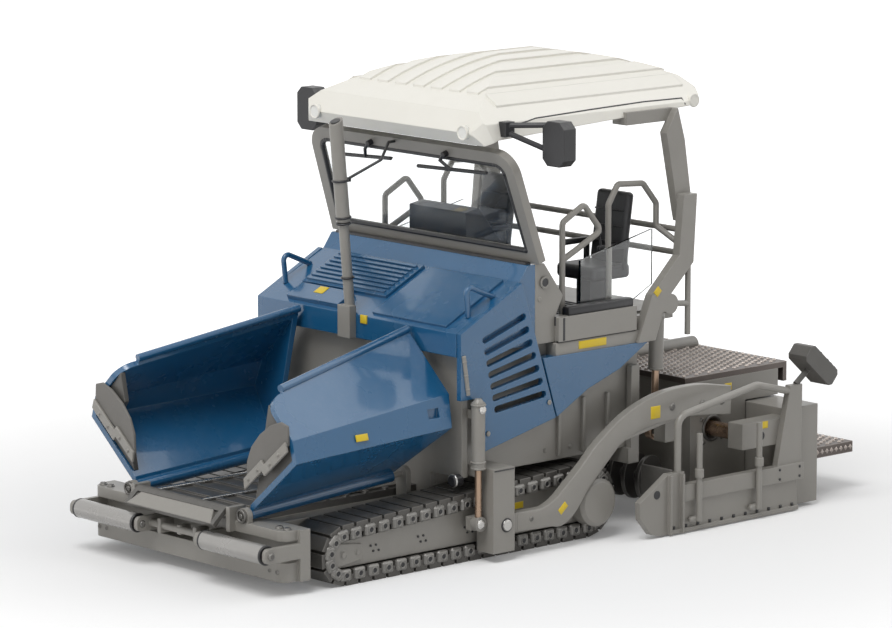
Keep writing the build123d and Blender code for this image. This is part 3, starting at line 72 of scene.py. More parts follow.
def new_group(name, inputs, outputs):
    """Shader node group with named sockets, and its input and output nodes."""
    tree = bpy.data.node_groups.new(name, "ShaderNodeTree")
    for label, kind, value in inputs:
        tree.interface.new_socket(label, in_out="INPUT", socket_type=kind).default_value = value
    for label, kind in outputs:
        tree.interface.new_socket(label, in_out="OUTPUT", socket_type=kind)
    return tree, tree.nodes.new("NodeGroupInput"), tree.nodes.new("NodeGroupOutput")


def math_node(tree, operation, first, second=None, clamp=False):
    """Math node fed by sockets or plain numbers."""
    node = tree.nodes.new("ShaderNodeMath")
    node.operation = operation
    node.use_clamp = clamp
    for socket, value in zip(node.inputs, (first, second)):
        if value is None:
            continue
        if isinstance(value, (int, float)):
            socket.default_value = value
        else:
            tree.links.new(value, socket)
    return node.outputs[0]


def noise_node(tree, scale, detail=3.0, rough=0.5):
    """Noise on Object coordinates. The scale may be a number or a socket."""
    place = tree.nodes.new("ShaderNodeTexCoord")
    noise = tree.nodes.new("ShaderNodeTexNoise")
    noise.inputs["Detail"].default_value = detail
    noise.inputs["Roughness"].default_value = rough
    tree.links.new(place.outputs["Object"], noise.inputs["Vector"])
    if isinstance(scale, (int, float)):
        noise.inputs["Scale"].default_value = scale
    else:
        tree.links.new(scale, noise.inputs["Scale"])
    return noise.outputs["Fac"]


def ramp_node(tree, value, low, high):
    """Smooth step of a value between two levels."""
    node = tree.nodes.new("ShaderNodeMapRange")
    node.interpolation_type = "SMOOTHSTEP"
    node.inputs["From Min"].default_value = low
    node.inputs["From Max"].default_value = high
    tree.links.new(value, node.inputs["Value"])
    return node.outputs["Result"]


def mix_node(tree, share, first, second):
    """Colour mix. The colours may be tuples or sockets."""
    node = tree.nodes.new("ShaderNodeMix")
    node.data_type = "RGBA"
    for socket, value in ((node.inputs["Factor"], share), (node.inputs["A"], first), (node.inputs["B"], second)):
        target = socket
        if socket.name in "AB":
            target = [s for s in node.inputs if s.name == socket.name and s.type == "RGBA"][0]
        if isinstance(value, (int, float)):
            target.default_value = value
        elif isinstance(value, tuple):
            target.default_value = (*value, 1.0)
        else:
            tree.links.new(value, target)
    return [s for s in node.outputs if s.type == "RGBA"][0]


def make_paint_skin():
    """Sprayed coat: slow mottling of the colour and the roughness, fine orange peel as height."""
    tree, given, out = new_group(
        "paint_skin",
        (("Colour", "NodeSocketColor", (1, 1, 1, 1)), ("Shade", "NodeSocketColor", (0, 0, 0, 1)),
         ("Roughness", "NodeSocketFloat", 0.4), ("Mottling", "NodeSocketFloat", 90.0),
         ("Peel", "NodeSocketFloat", 1800.0)),
        (("Colour", "NodeSocketColor"), ("Roughness", "NodeSocketFloat"), ("Height", "NodeSocketFloat")))
    clouds = ramp_node(tree, noise_node(tree, given.outputs["Mottling"], 4.0, 0.6), 0.35, 0.75)
    peel = noise_node(tree, given.outputs["Peel"], 2.0)
    share = math_node(tree, "MULTIPLY", clouds, 0.4)
    tree.links.new(mix_node(tree, share, given.outputs["Colour"], given.outputs["Shade"]), out.inputs["Colour"])
    drift = math_node(tree, "MULTIPLY", math_node(tree, "SUBTRACT", clouds, 0.5), 0.12)
    rough = math_node(tree, "ADD", given.outputs["Roughness"], drift, clamp=True)
    tree.links.new(rough, out.inputs["Roughness"])
    tree.links.new(peel, out.inputs["Height"])
    return tree


def make_soft_edges():
    """Rounded look of cast and moulded edges, and a mask of where they are."""
    tree, given, out = new_group(
        "soft_edges", (("Radius", "NodeSocketFloat", 0.0003),),
        (("Normal", "NodeSocketVector"), ("Edge", "NodeSocketFloat")))
    bevel = tree.nodes.new("ShaderNodeBevel")
    bevel.samples = 6
    tree.links.new(given.outputs["Radius"], bevel.inputs["Radius"])
    surface = tree.nodes.new("ShaderNodeNewGeometry")
    dot = tree.nodes.new("ShaderNodeVectorMath")
    dot.operation = "DOT_PRODUCT"
    tree.links.new(bevel.outputs["Normal"], dot.inputs[0])
    tree.links.new(surface.outputs["Normal"], dot.inputs[1])
    tree.links.new(ramp_node(tree, math_node(tree, "SUBTRACT", 1.0, dot.outputs["Value"]), 0.01, 0.12),
                   out.inputs["Edge"])
    tree.links.new(bevel.outputs["Normal"], out.inputs["Normal"])
    return tree


def make_settled_dust():
    """Mask of fine dust lying on faces that look up, broken by noise."""
    tree, given, out = new_group(
        "settled_dust", (("Amount", "NodeSocketFloat", 0.2),), (("Mask", "NodeSocketFloat"),))
    surface = tree.nodes.new("ShaderNodeNewGeometry")
    split = tree.nodes.new("ShaderNodeSeparateXYZ")
    tree.links.new(surface.outputs["Normal"], split.inputs["Vector"])
    level = ramp_node(tree, split.outputs["Z"], 0.3, 0.95)
    specks = ramp_node(tree, noise_node(tree, 700.0, 5.0, 0.7), 0.35, 0.8)
    mask = math_node(tree, "MULTIPLY", math_node(tree, "MULTIPLY", level, specks), given.outputs["Amount"])
    tree.links.new(mask, out.inputs["Mask"])
    return tree


PAINT_SKIN = make_paint_skin()
SOFT_EDGES = make_soft_edges()
SETTLED_DUST = make_settled_dust()


def place_group(tree, group, **values):
    """Node that uses a group with its own values."""
    node = tree.nodes.new("ShaderNodeGroup")
    node.node_tree = group
    for label, value in values.items():
        node.inputs[label].default_value = (*value, 1.0) if isinstance(value, tuple) else value
    return node


def coated(name, colour, shade, edge_wear_and_highlight_colour, roughness, metallic=0.0, coat=0.0, coat_rough=0.1, mottling=90.0, peel=1800.0,
           bump=0.05, edge=0.00025, wear=0.5, dust=0.15, dust_colour=(0.45, 0.43, 0.4)):
    """Painted, moulded or bare surface built from the shared effects."""
    material = bpy.data.materials.new(name)
    material.use_nodes = True
    tree = material.node_tree
    surface = tree.nodes["Principled BSDF"]
    skin = place_group(tree, PAINT_SKIN, Colour=colour, Shade=shade, Roughness=roughness, Mottling=mottling, Peel=peel)
    edges = place_group(tree, SOFT_EDGES, Radius=edge)
    film = place_group(tree, SETTLED_DUST, Amount=dust)
    # Edges are tinted towards the lighter worn colour by the edge mask times wear: partly paint wear, partly a painted
    # edge highlight
    edge_wear_and_highlight_mask = math_node(tree, "MULTIPLY", edges.outputs["Edge"], wear)
    tint = mix_node(tree, edge_wear_and_highlight_mask, skin.outputs["Colour"], edge_wear_and_highlight_colour)
    tint = mix_node(tree, film.outputs["Mask"], tint, dust_colour)
    relief = tree.nodes.new("ShaderNodeBump")
    relief.inputs["Strength"].default_value = bump
    relief.inputs["Distance"].default_value = 0.0002
    tree.links.new(skin.outputs["Height"], relief.inputs["Height"])
    tree.links.new(edges.outputs["Normal"], relief.inputs["Normal"])
    tree.links.new(tint, surface.inputs["Base Color"])
    tree.links.new(skin.outputs["Roughness"], surface.inputs["Roughness"])
    tree.links.new(relief.outputs["Normal"], surface.inputs["Normal"])
    surface.inputs["Metallic"].default_value = metallic
    surface.inputs["Coat Weight"].default_value = coat
    surface.inputs["Coat Roughness"].default_value = coat_rough
    return material


def clear_sheet(name, colour, roughness):
    """Thin clear plastic with faint smears."""
    material = bpy.data.materials.new(name)
    material.use_nodes = True
    tree = material.node_tree
    surface = tree.nodes["Principled BSDF"]
    surface.inputs["Base Color"].default_value = (*colour, 1)
    surface.inputs["Transmission Weight"].default_value = 1.0
    surface.inputs["IOR"].default_value = 1.42
    smears = ramp_node(tree, noise_node(tree, 160.0, 5.0, 0.65), 0.3, 0.8)
    tree.links.new(math_node(tree, "MULTIPLY", smears, roughness), surface.inputs["Roughness"])
    return material


BLUE = coated("paint_blue", (0.01, 0.098, 0.225), (0.008, 0.085, 0.195), (0.05, 0.17, 0.31), 0.28, coat=0.6,
              coat_rough=0.06, bump=0.03, wear=0.45, dust=0.03)
GREY = coated("paint_grey", (0.275, 0.262, 0.238), (0.235, 0.222, 0.2), (0.36, 0.345, 0.315), 0.42, coat=0.15,
              coat_rough=0.25, bump=0.06, dust=0.1)
CREAM = coated("roof_cream", (0.83, 0.81, 0.745), (0.79, 0.77, 0.7), (0.87, 0.85, 0.79), 0.42, coat=0.2,
               coat_rough=0.2, bump=0.05, wear=0.4, dust=0.05, dust_colour=(0.6, 0.58, 0.52))
BLACK = coated("black_plastic", (0.016, 0.016, 0.018), (0.024, 0.024, 0.026), (0.06, 0.06, 0.062), 0.38, bump=0.12,
               dust=0.12)
TRACK = coated("track_metal", (0.1, 0.095, 0.087), (0.07, 0.066, 0.06), (0.21, 0.2, 0.185), 0.44, metallic=0.35,
               bump=0.12, wear=0.7, dust=0.15)
BRONZE = coated("bright_tube", (0.4, 0.28, 0.2), (0.32, 0.22, 0.15), (0.56, 0.42, 0.32), 0.3, metallic=0.75, bump=0.05,
                dust=0.03)
CHECKER = coated("checker_plate", (0.12, 0.1, 0.09), (0.085, 0.07, 0.062), (0.34, 0.3, 0.275), 0.42, metallic=0.5,
                 bump=0.1, wear=0.8, dust=0.06)
STEEL = coated("bare_metal", (0.13, 0.125, 0.118), (0.09, 0.087, 0.082), (0.3, 0.29, 0.27), 0.38, metallic=0.6,
               bump=0.12, wear=0.7, dust=0.12)
SILVER = coated("bright_steel", (0.5, 0.49, 0.47), (0.4, 0.39, 0.37), (0.7, 0.69, 0.66), 0.28, metallic=0.95, bump=0.05,
                wear=0.5, dust=0.03)
LENS = coated("lamp_lens", (0.78, 0.78, 0.74), (0.7, 0.7, 0.66), (0.9, 0.9, 0.87), 0.15, coat=0.8, coat_rough=0.05,
              mottling=400.0, bump=0.2, wear=0.3, dust=0.02)
RUBBER = coated("grey_rubber", (0.17, 0.162, 0.15), (0.13, 0.124, 0.114), (0.22, 0.21, 0.195), 0.65, peel=2600.0,
                bump=0.2, wear=0.4, dust=0.15)
YELLOW = coated("yellow_patch", (0.72, 0.52, 0.02), (0.66, 0.46, 0.015), (0.78, 0.6, 0.08), 0.4, wear=0.3, dust=0.03)
PIPS = coated("plate_pips", (0.34, 0.295, 0.265), (0.27, 0.23, 0.205), (0.6, 0.55, 0.51), 0.36, metallic=0.5, bump=0.06,
              wear=0.9, dust=0.04)
LINKS = coated("link_metal", (0.2, 0.193, 0.18), (0.15, 0.144, 0.134), (0.36, 0.35, 0.33), 0.36, metallic=0.45,
               bump=0.08, wear=0.7, dust=0.08)
SATIN = coated("roller_satin", (0.36, 0.35, 0.335), (0.3, 0.29, 0.275), (0.5, 0.49, 0.47), 0.3, metallic=0.55, coat=0.2,
               bump=0.05, wear=0.5, dust=0.05)
# Grey paint darkened to stand for shade: a painted-shade copy of the grey, for plates that sit in shade
PAINTED_SHADE_GREY = coated("grey_with_painted_shade", (0.1, 0.096, 0.088), (0.08, 0.076, 0.07), (0.2, 0.19, 0.178), 0.45, bump=0.08,
                    dust=0.1)
GLASS = clear_sheet("clear_glass", (0.95, 0.97, 0.97), 0.06)

FINISHES = {"paint_blue": BLUE, "paint_grey": GREY, "roof_cream": CREAM, "black_plastic": BLACK, "clear_glass": GLASS,
            "track_metal": TRACK, "bright_tube": BRONZE, "checker_plate": CHECKER, "bare_metal": STEEL,
            "lamp_lens": LENS, "grey_rubber": RUBBER}
# Nodes with their own finish: satin metal on the push rollers, and the grey with painted shade on the apron, wing
# baffles and screed panels
NODE_FINISHES = {"push_roller_left": SATIN, "push_roller_right": SATIN, "apron": PAINTED_SHADE_GREY,
                 "wing_baffle_left": PAINTED_SHADE_GREY, "wing_baffle_right": PAINTED_SHADE_GREY,
                 "screed_panel_left": PAINTED_SHADE_GREY, "screed_panel_right": PAINTED_SHADE_GREY}


def paint_nodes():
    """Give every CAD node the finish that the record's slot names."""
    slots = {part["node"]: part["material_slot"] for part in frame["record"]["subparts"]}
    for name, node in frame["nodes"].items():
        node.data.materials.clear()
        node.data.materials.append(NODE_FINISHES.get(name) or FINISHES[slots[name]])


# Fittings, drawn in millimetres on the left-hand side

def between_points(start, end):
    """Place at the middle of two points, its Z axis running from one to the other."""
    start, end = Vector(start), Vector(end)
    return Matrix.Translation((start + end) / 2) @ (end - start).to_track_quat("Z", "Y").to_matrix().to_4x4()


def add_block(bm, low, high, edge=0.12, turn=None, segments=2):
    """Block between two corners with rounded edges, turned about its own middle."""
    size = [b - a for a, b in zip(low, high)]
    middle = [(a + b) / 2 for a, b in zip(low, high)]
    place = Matrix.Translation(middle) @ (turn or Matrix()) @ Matrix.Diagonal((*size, 1))
    made = bmesh.ops.create_cube(bm, size=1.0, matrix=place)
    rims = list({rim for corner in made["verts"] for rim in corner.link_edges})
    bmesh.ops.bevel(bm, geom=rims, offset=edge, segments=segments, profile=0.5, affect="EDGES", material=-1)


def add_pin(bm, start, end, radius, tip=None, sides=16, edge=0.0):
    """Round bar between two points, tapered to the tip's radius, its ends chamfered by the edge."""
    made = bmesh.ops.create_cone(
        bm, cap_ends=True, segments=sides, radius1=radius, radius2=radius if tip is None else tip,
        depth=(Vector(end) - Vector(start)).length, matrix=between_points(start, end))
    if edge:
        caps = {face for corner in made["verts"] for face in corner.link_faces if len(face.verts) == sides}
        rims = list({rim for cap in caps for rim in cap.edges})
        bmesh.ops.bevel(bm, geom=rims, offset=edge, segments=1, profile=0.5, affect="EDGES", material=-1)


def add_ball(bm, place, radius):
    """Small ball, as on a lever or at a wire's bend."""
    bmesh.ops.create_uvsphere(bm, u_segments=12, v_segments=8, radius=radius, matrix=Matrix.Translation(place))


def add_wire(bm, points, radius, sides=10):
    """Bent wire through points."""
    for start, end in zip(points, points[1:]):
        add_pin(bm, start, end, radius, sides=sides)
    for bend in points[1:-1]:
        add_ball(bm, bend, radius * 1.02)


def add_ring(bm, place, axis, radius, tube, steps=28, sides=8):
    """Ring of round section about an axis."""
    frame_of_ring = Matrix.Translation(place) @ Vector(axis).to_track_quat("Z", "Y").to_matrix().to_4x4()
    section = bmesh.ops.create_circle(
        bm, segments=sides, radius=tube,
        matrix=frame_of_ring @ Matrix.Translation((radius, 0, 0)) @ Matrix.Rotation(pi / 2, 4, "X"))
    loop = list({rim for corner in section["verts"] for rim in corner.link_edges})
    bmesh.ops.spin(bm, geom=section["verts"] + loop, cent=place, axis=axis, angle=2 * pi, steps=steps, use_merge=True)


def add_bolt(bm, place, axis, radius, height=0.3):
    """Hexagon head on a washer, its foot sunk into the surface."""
    place, axis = Vector(place), Vector(axis).normalized()
    add_pin(bm, place - axis * 0.2, place + axis * height * 0.35, radius * 1.35, sides=14)
    add_pin(bm, place - axis * 0.2, place + axis * height, radius, sides=6)


def add_plate(bm, outline, depth, edge=0.08):
    """Flat plate of the outline's shape, thickened by the depth."""
    corners = [bm.verts.new(corner) for corner in outline]
    made = bmesh.ops.extrude_face_region(bm, geom=[bm.faces.new(corners)])
    raised = [part for part in made["geom"] if isinstance(part, bmesh.types.BMVert)]
    bmesh.ops.translate(bm, verts=raised, vec=depth)
    own = set(corners + raised)
    rims = list({rim for corner in own for rim in corner.link_edges})
    bmesh.ops.bevel(bm, geom=rims, offset=edge, segments=1, profile=0.5, affect="EDGES", material=-1)


def add_pips(bm, low, high, z, pitch, radius, height):
    """Rows of low four-sided pips, each second row moved by half a pitch."""
    rows = int((high[0] - low[0]) / pitch) + 1
    columns = int((high[1] - low[1]) / pitch)
    for row in range(rows):
        for column in range(columns):
            x = low[0] + row * pitch
            y = low[1] + (column + 0.25 + 0.5 * (row % 2)) * pitch
            add_pin(bm, (x, y, z - 0.1), (x, y, z + height), radius, tip=radius * 0.45, sides=4)


def put_piece(name, draw, material, body, sides=(1,)):
    """Draw a fitting, copy it to the sides asked for, and let it ride on its body."""
    bm = bmesh.new()
    draw(bm)
    if sides == (1, -1):
        twin = bmesh.ops.duplicate(bm, geom=list(bm.verts) + list(bm.edges) + list(bm.faces))["geom"]
        bmesh.ops.scale(bm, vec=(1, -1, 1), verts=[part for part in twin if isinstance(part, bmesh.types.BMVert)])
    elif sides == (-1,):
        bmesh.ops.scale(bm, vec=(1, -1, 1), verts=bm.verts)
    bmesh.ops.scale(bm, vec=(MM, MM, MM), verts=bm.verts)
    bmesh.ops.recalc_face_normals(bm, faces=bm.faces)
    mesh = bpy.data.meshes.new(name)
    bm.to_mesh(mesh)
    bm.free()
    mesh.shade_smooth()
    mesh.set_sharp_from_angle(angle=radians(32))
    mesh.materials.append(material)
    piece = bpy.data.objects.new(name, mesh)
    bpy.context.scene.collection.objects.link(piece)
    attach(piece, body)


def put_twins(name, draw, material, body):
    """The same fitting on a left-hand body and, mirrored, on its right-hand partner."""
    put_piece(f"{name}_left", draw, material, f"{body}_left")
    put_piece(f"{name}_right", draw, material, f"{body}_right", sides=(-1,))


# Tracks

IDLER = (48.0, 4.9)
SPROCKET = (-4.4, 6.3)
SHOE_COUNT = 48
TRACK_FACE = 24.3
PIN_DEPTH = 1.72


def on_loop(share, inwards):
    """Point of the track's loop at a share of its length, moved inwards."""
    run = IDLER[0] - SPROCKET[0]
    top = pi / 2 - 2 * atan2(SPROCKET[1] - IDLER[1], run)
    front, rear = (top + pi / 2) * IDLER[1], (3 * pi / 2 - top) * SPROCKET[1]
    place = share * (2 * run + front + rear)
    if place < front:
        turn = place / IDLER[1] - pi / 2
        return IDLER[0] + (IDLER[1] - inwards) * cos(turn), IDLER[1] + (IDLER[1] - inwards) * sin(turn)
    place -= front
    if place < run:
        ends = [(x + (r - inwards) * cos(top), r + (r - inwards) * sin(top)) for x, r in (IDLER, SPROCKET)]
        return tuple(a + (b - a) * place / run for a, b in zip(*ends))
    place -= run
    if place < rear:
        turn = top + place / SPROCKET[1]
        return SPROCKET[0] + (SPROCKET[1] - inwards) * cos(turn), SPROCKET[1] + (SPROCKET[1] - inwards) * sin(turn)
    return SPROCKET[0] + place - rear, inwards


def draw_link_blocks(bm):
    """Rounded chain link blocks along a track's outer edge."""
    for shoe in range(SHOE_COUNT):
        x, z = on_loop(shoe / SHOE_COUNT, PIN_DEPTH)
        ahead = on_loop((shoe + 0.05) / SHOE_COUNT, PIN_DEPTH)
        turn = Matrix.Rotation(atan2(z - ahead[1], ahead[0] - x), 4, "Y")
        add_block(bm, (x - 1.12, TRACK_FACE - 0.5, z - 0.95), (x + 1.12, TRACK_FACE + 0.4, z + 0.95), 0.28, turn, 1)


def draw_link_rings(bm):
    """Bright ring round each link pin."""
    for shoe in range(SHOE_COUNT):
        x, z = on_loop(shoe / SHOE_COUNT, PIN_DEPTH)
        add_ring(bm, (x, TRACK_FACE + 0.4, z), (0, 1, 0), 0.5, 0.13, steps=12, sides=4)


def draw_link_pins(bm):
    """Dark pin ends in the rings."""
    for shoe in range(SHOE_COUNT):
        x, z = on_loop(shoe / SHOE_COUNT, PIN_DEPTH)
        add_pin(bm, (x, TRACK_FACE + 0.1, z), (x, TRACK_FACE + 0.43, z), 0.4, sides=10)


def draw_frame_studs(bm):
    """Small studs in groups on the track frame's side plate."""
    for x in (10.5, 20.5, 30.5, 40.5):
        for along, up in ((0, 0), (1.1, 0), (0.55, 0.9), (1.65, 0.9)):
            add_pin(bm, (x + along, 23.4, 4.6 + up), (x + along, 23.75, 4.6 + up), 0.2, sides=8)


def draw_idler_scraper(bm):
    """Folded guard in front of the idler, fixed to the side plate."""
    add_plate(bm, ((44.2, 23.5, 3.6), (49.6, 23.5, 2.9), (50.9, 23.5, 4.9), (49.6, 23.5, 6.9), (44.2, 23.5, 6.2)),
              (0, 0.35, 0))
    add_bolt(bm, (48.0, 23.8, 4.9), (0, 1, 0), 0.55)
    add_bolt(bm, (45.2, 23.8, 4.9), (0, 1, 0), 0.3)


# Front beam and hopper

ROLLER = (63.45, 7.1)


def draw_roller_collars(bm):
    """Dark collars at a push roller's ends."""
    for y in (8.5, 23.45):
        add_pin(bm, (ROLLER[0], y - 0.22, ROLLER[1]), (ROLLER[0], y + 0.22, ROLLER[1]), 1.6, sides=28, edge=0.08)


def draw_beam_bolts(bm):
    """Bolts on the fork ends, the beam's bars and the hinge ears."""
    add_bolt(bm, (ROLLER[0], 24.7, ROLLER[1]), (0, 1, 0), 0.5, 0.3)
    for y in (21.3, 23.2):
        add_bolt(bm, (58.9, y, 10.4), (0, 0, 1), 0.5, 0.4)
    for y in (20.6, 22.4):
        add_bolt(bm, (60.3, y, 3.8), (1, 0, 0), 0.34, 0.25)


def draw_pipe_brackets(bm):
    """Clips that hold the cross pipe between the rollers."""
    for y in (-4.5, 4.5):
        add_block(bm, (59.6, y - 0.45, 5.9), (62.4, y + 0.45, 8.3), 0.2)
        add_ring(bm, (61.6, y, 7.1), (0, 1, 0), 0.72, 0.16, steps=20)
    add_block(bm, (59.8, -0.5, 6.3), (62.0, 0.5, 7.9), 0.2)


WING_HINGE = (14.2, 11.4)


def draw_hinge_rings(bm):
    """Rings on the wing hinges' front ears."""
    y, z = WING_HINGE
    add_ring(bm, (60.75, y, z), (1, 0, -0.07), 0.95, 0.22, steps=24)
    add_pin(bm, (60.2, y, z + 0.03), (60.95, y, z - 0.02), 0.45, sides=14, edge=0.08)


def draw_floor_strips(bm):
    """Bright wear strips along the conveyor floor."""
    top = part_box("hopper_floor")[1].z / MM
    for y in (-11.7, -0.35, 10.6):
        add_block(bm, (24.2, y, top - 0.25), (57.6, y + (0.7 if y == -0.35 else 1.1), top + 0.12), 0.06)


APRON_DROP = radians(42)
APRON_HALF = 10.0


def on_apron(along, across, up):
    """Point in the apron's own plane, measured from its pin."""
    return (60.9 + along * cos(APRON_DROP) + up * sin(APRON_DROP), across,
            11.9 - along * sin(APRON_DROP) + up * cos(APRON_DROP))


def draw_apron_face(bm):
    """Pale face plate with slanted ends, set in the apron's dark tray."""
    upper, lower = APRON_HALF - 0.9, APRON_HALF + 0.6
    add_plate(bm, (on_apron(0.95, -upper, 0.3), on_apron(0.95, upper, 0.3), on_apron(3.5, lower, 0.3),
                   on_apron(3.5, -lower, 0.3)), (0.6 * sin(APRON_DROP), 0, 0.6 * cos(APRON_DROP)))


def on_flap(along, inwards, x=59.6):
    """Point by a wing's front edge: along its lower wall from the hinge, and inwards from that wall."""
    turn = radians(40)
    return (x, WING_HINGE[0] + along * cos(turn) - inwards * sin(turn),
            WING_HINGE[1] + along * sin(turn) + inwards * cos(turn))


def draw_flap_strip(bm):
    """Stepped clamping strip of a wing's front flap."""
    add_plate(bm, [on_flap(*place) for place in ((2.6, 3.2), (8.2, 3.2), (8.2, 2.3), (15.4, 2.3), (16.0, 3.8),
                                                 (9.2, 3.8), (9.2, 4.7), (3.6, 4.7))], (0.5, 0, 0))
    for along, inwards in ((4.6, 3.95), (7.4, 3.95), (10.6, 3.05), (13.4, 3.05)):
        add_bolt(bm, on_flap(along, inwards, 60.1), (1, 0, 0), 0.22, 0.22)


def draw_flap_rubber(bm):
    """Rubber flap that hangs inside the clamping strip, its free edge curved."""
    add_plate(bm, [on_flap(*place) for place in ((3.4, 4.2), (9.0, 4.0), (15.8, 3.2), (17.6, 5.6), (16.6, 7.0),
                                                 (14.2, 7.9), (11.0, 8.2), (8.0, 7.8), (5.6, 6.6))], (-0.5, 0, 0))


def draw_wing_patch(bm):
    """Plain patch on a wing's outer face."""
    add_block(bm, (43.9, 24.86, 22.9), (46.3, 25.16, 24.0), 0.04, Matrix.Rotation(radians(16), 4, "X"))


# Body and platform

SCREEN_FOOT = (8.3, 48.8)
SCREEN_LEAN = radians(18.4)


def on_screen(across, up, out=0.0):
    """Point on the windscreen's front face."""
    return Vector((SCREEN_FOOT[0] + up * sin(SCREEN_LEAN) + out * cos(SCREEN_LEAN), across,
                   SCREEN_FOOT[1] + up * cos(SCREEN_LEAN) - out * sin(SCREEN_LEAN)))


def draw_screen_gasket(bm):
    """Black seal round the windscreen's pane, with rounded corners, and the seal under the frame."""
    half_low, half_top, height, corner = 23.2, 22.5, 15.0, 1.9
    centres = ((half_top - corner, height - corner, 0), (-half_top + corner, height - corner, 1),
               (-half_low + 0.3, 0.3, 2), (half_low - 0.3, 0.3, 3))
    outline = []
    for across, up, quarter in centres:
        radius = corner if quarter < 2 else 0.3
        for step in range(6):
            turn = quarter * pi / 2 + step * pi / 10
            outline.append(on_screen(across + radius * cos(turn), up + radius * sin(turn), -0.25))
    add_wire(bm, outline + outline[:2], 0.42, sides=8)
    add_block(bm, (7.5, -23.4, 46.3), (8.9, 23.4, 47.1), 0.2)


def draw_wipers(bm):
    """Two wipers hung from the windscreen's upper edge."""
    for pivot, low, high in (((9.5, 15.9), (2.0, 13.0), (18.8, 13.6)), ((-9.0, 15.9), (-17.0, 13.0), (-4.4, 13.6))):
        middle = on_screen((low[0] + high[0]) / 2, (low[1] + high[1]) / 2, 0.7)
        add_pin(bm, on_screen(*pivot, -0.1), on_screen(*pivot, 1.0), 0.5, sides=12, edge=0.08)
        add_wire(bm, (on_screen(*pivot, 0.8), on_screen(pivot[0] - 1.0, pivot[1] - 1.0, 0.9), middle), 0.28)
        add_pin(bm, on_screen(*low, 0.5), on_screen(*high, 0.5), 0.32, sides=6)
        add_pin(bm, on_screen(*low, 0.2), on_screen(*high, 0.2), 0.15, sides=6)


def on_pipe(share, out=0.0):
    """Point along the exhaust's middle line, moved forwards."""
    return Vector((24.6 + 3.0 * share + out, -1.5, 38.3 + 32.1 * share))


def draw_pipe_clamp(bm):
    """Clamps round the exhaust and the wire stay to the windscreen."""
    lean = on_pipe(1) - on_pipe(0)
    for share, radius in ((0.44, 1.12), (0.47, 1.2), (0.66, 1.22), (0.16, 0.95)):
        add_ring(bm, on_pipe(share), lean, radius, 0.2, steps=24)
    add_block(bm, on_pipe(0.66) - Vector((2.1, 0.35, 0.35)), on_pipe(0.66) - Vector((0.9, -0.35, -0.35)), 0.1)
    add_wire(bm, (on_pipe(0.66, -1.3), Vector((20.3, 1.4, 62.6)), Vector((15.2, -2.6, 64.6)),
                  on_screen(-3.0, 16.6, -0.1)), 0.24)


def draw_pipe_mouth(bm):
    """Dark inside of the exhaust's slashed end."""
    tilt = Vector((0.38, 0, 1)).normalized()
    mouth = on_pipe(0.965) + Vector((0.1, 0, 0.02))
    add_pin(bm, mouth - tilt * 0.3, mouth + tilt * 0.06, 0.86, sides=24)


def draw_door_trim(bm):
    """Hinge barrel and locks of a side panel."""
    foot, head = Vector((22.9, 25.3, 27.4)), Vector((23.9, 25.3, 33.9))
    add_pin(bm, foot, head, 0.38, sides=12, edge=0.08)
    for share in (0.15, 0.5, 0.85):
        add_ring(bm, foot.lerp(head, share), (0.15, 0, 1), 0.36, 0.1, steps=14, sides=6)
    for x, y, z in ((6.4, 24.15, 40.9), (5.2, 25.3, 24.0), (18.6, 25.3, 20.6)):
        add_pin(bm, (x, y, z), (x, y + 0.2, z), 0.42, sides=16, edge=0.06)


def draw_ledge_patch(bm):
    """Plain patch on the ledge below the platform."""
    add_block(bm, (-7.8, 24.9, 31.9), (-1.6, 25.16, 33.2), 0.05)


def draw_ledge(bm):
    """Grey ledge between the skirt and the platform's side beam."""
    add_block(bm, (-15.4, 22.4, 30.6), (3.4, 25.05, 33.45), 0.2)


def draw_beam_gaps(bm):
    """Dark joints round the platform's side beam."""
    add_block(bm, (-14.5, 24.6, 33.42), (3.0, 25.12, 33.85), 0.08)
    add_block(bm, (1.6, 25.0, 33.7), (2.1, 25.3, 37.5), 0.08)


def draw_small_patches(bm):
    """Other plain patches on the tractor."""
    add_block(bm, (9.3, 23.5, 6.9), (12.2, 23.68, 8.0), 0.04)
    add_block(bm, (24.5, 1.2, 36.2), (24.78, 2.8, 37.6), 0.04)
    add_block(bm, (-19.7, 25.5, 38.9), (-18.3, 25.7, 40.1), 0.04, Matrix.Rotation(radians(45), 4, "Y"))
    slope = Matrix.Rotation(radians(26.2), 4, "Y")
    add_block(bm, (20.9, -13.0, 39.57), (22.7, -10.8, 39.77), 0.04, slope)


def draw_console_port(bm):
    """Ring of the round port in the side console."""
    add_ring(bm, (5.4, 24.45, 43.6), (0, 1, 0), 0.85, 0.18, steps=20)


def draw_console_hole(bm):
    """Dark inside of the port and the seam behind the console."""
    add_pin(bm, (5.4, 24.2, 43.6), (5.4, 24.5, 43.6), 0.8, sides=20)
    add_block(bm, (2.86, 22.7, 36.2), (3.12, 24.52, 37.7), 0.06)


def draw_side_rest(bm):
    """Dark moulded sill along the platform's side beam."""
    add_block(bm, (-14.3, 23.0, 37.3), (0.4, 24.9, 39.0), 0.4)


def draw_deck_mat(bm):
    """Ribbed rubber mat on the platform."""
    add_block(bm, (-16.6, -17.5, 35.5), (6.0, 17.5, 35.85), 0.1)
    for row in range(17):
        x = -16.0 + row * 1.3
        add_block(bm, (x, -17.0, 35.8), (x + 0.5, 17.0, 36.0), 0.06)


DASH_FACE = Vector((-5.0, 0, 6.0)).normalized()
DASH_MIDDLE = Vector((-2.0, -3.5, 50.0))
DASH_DIALS = (-4.8, -2.6, 2.8, 4.8)


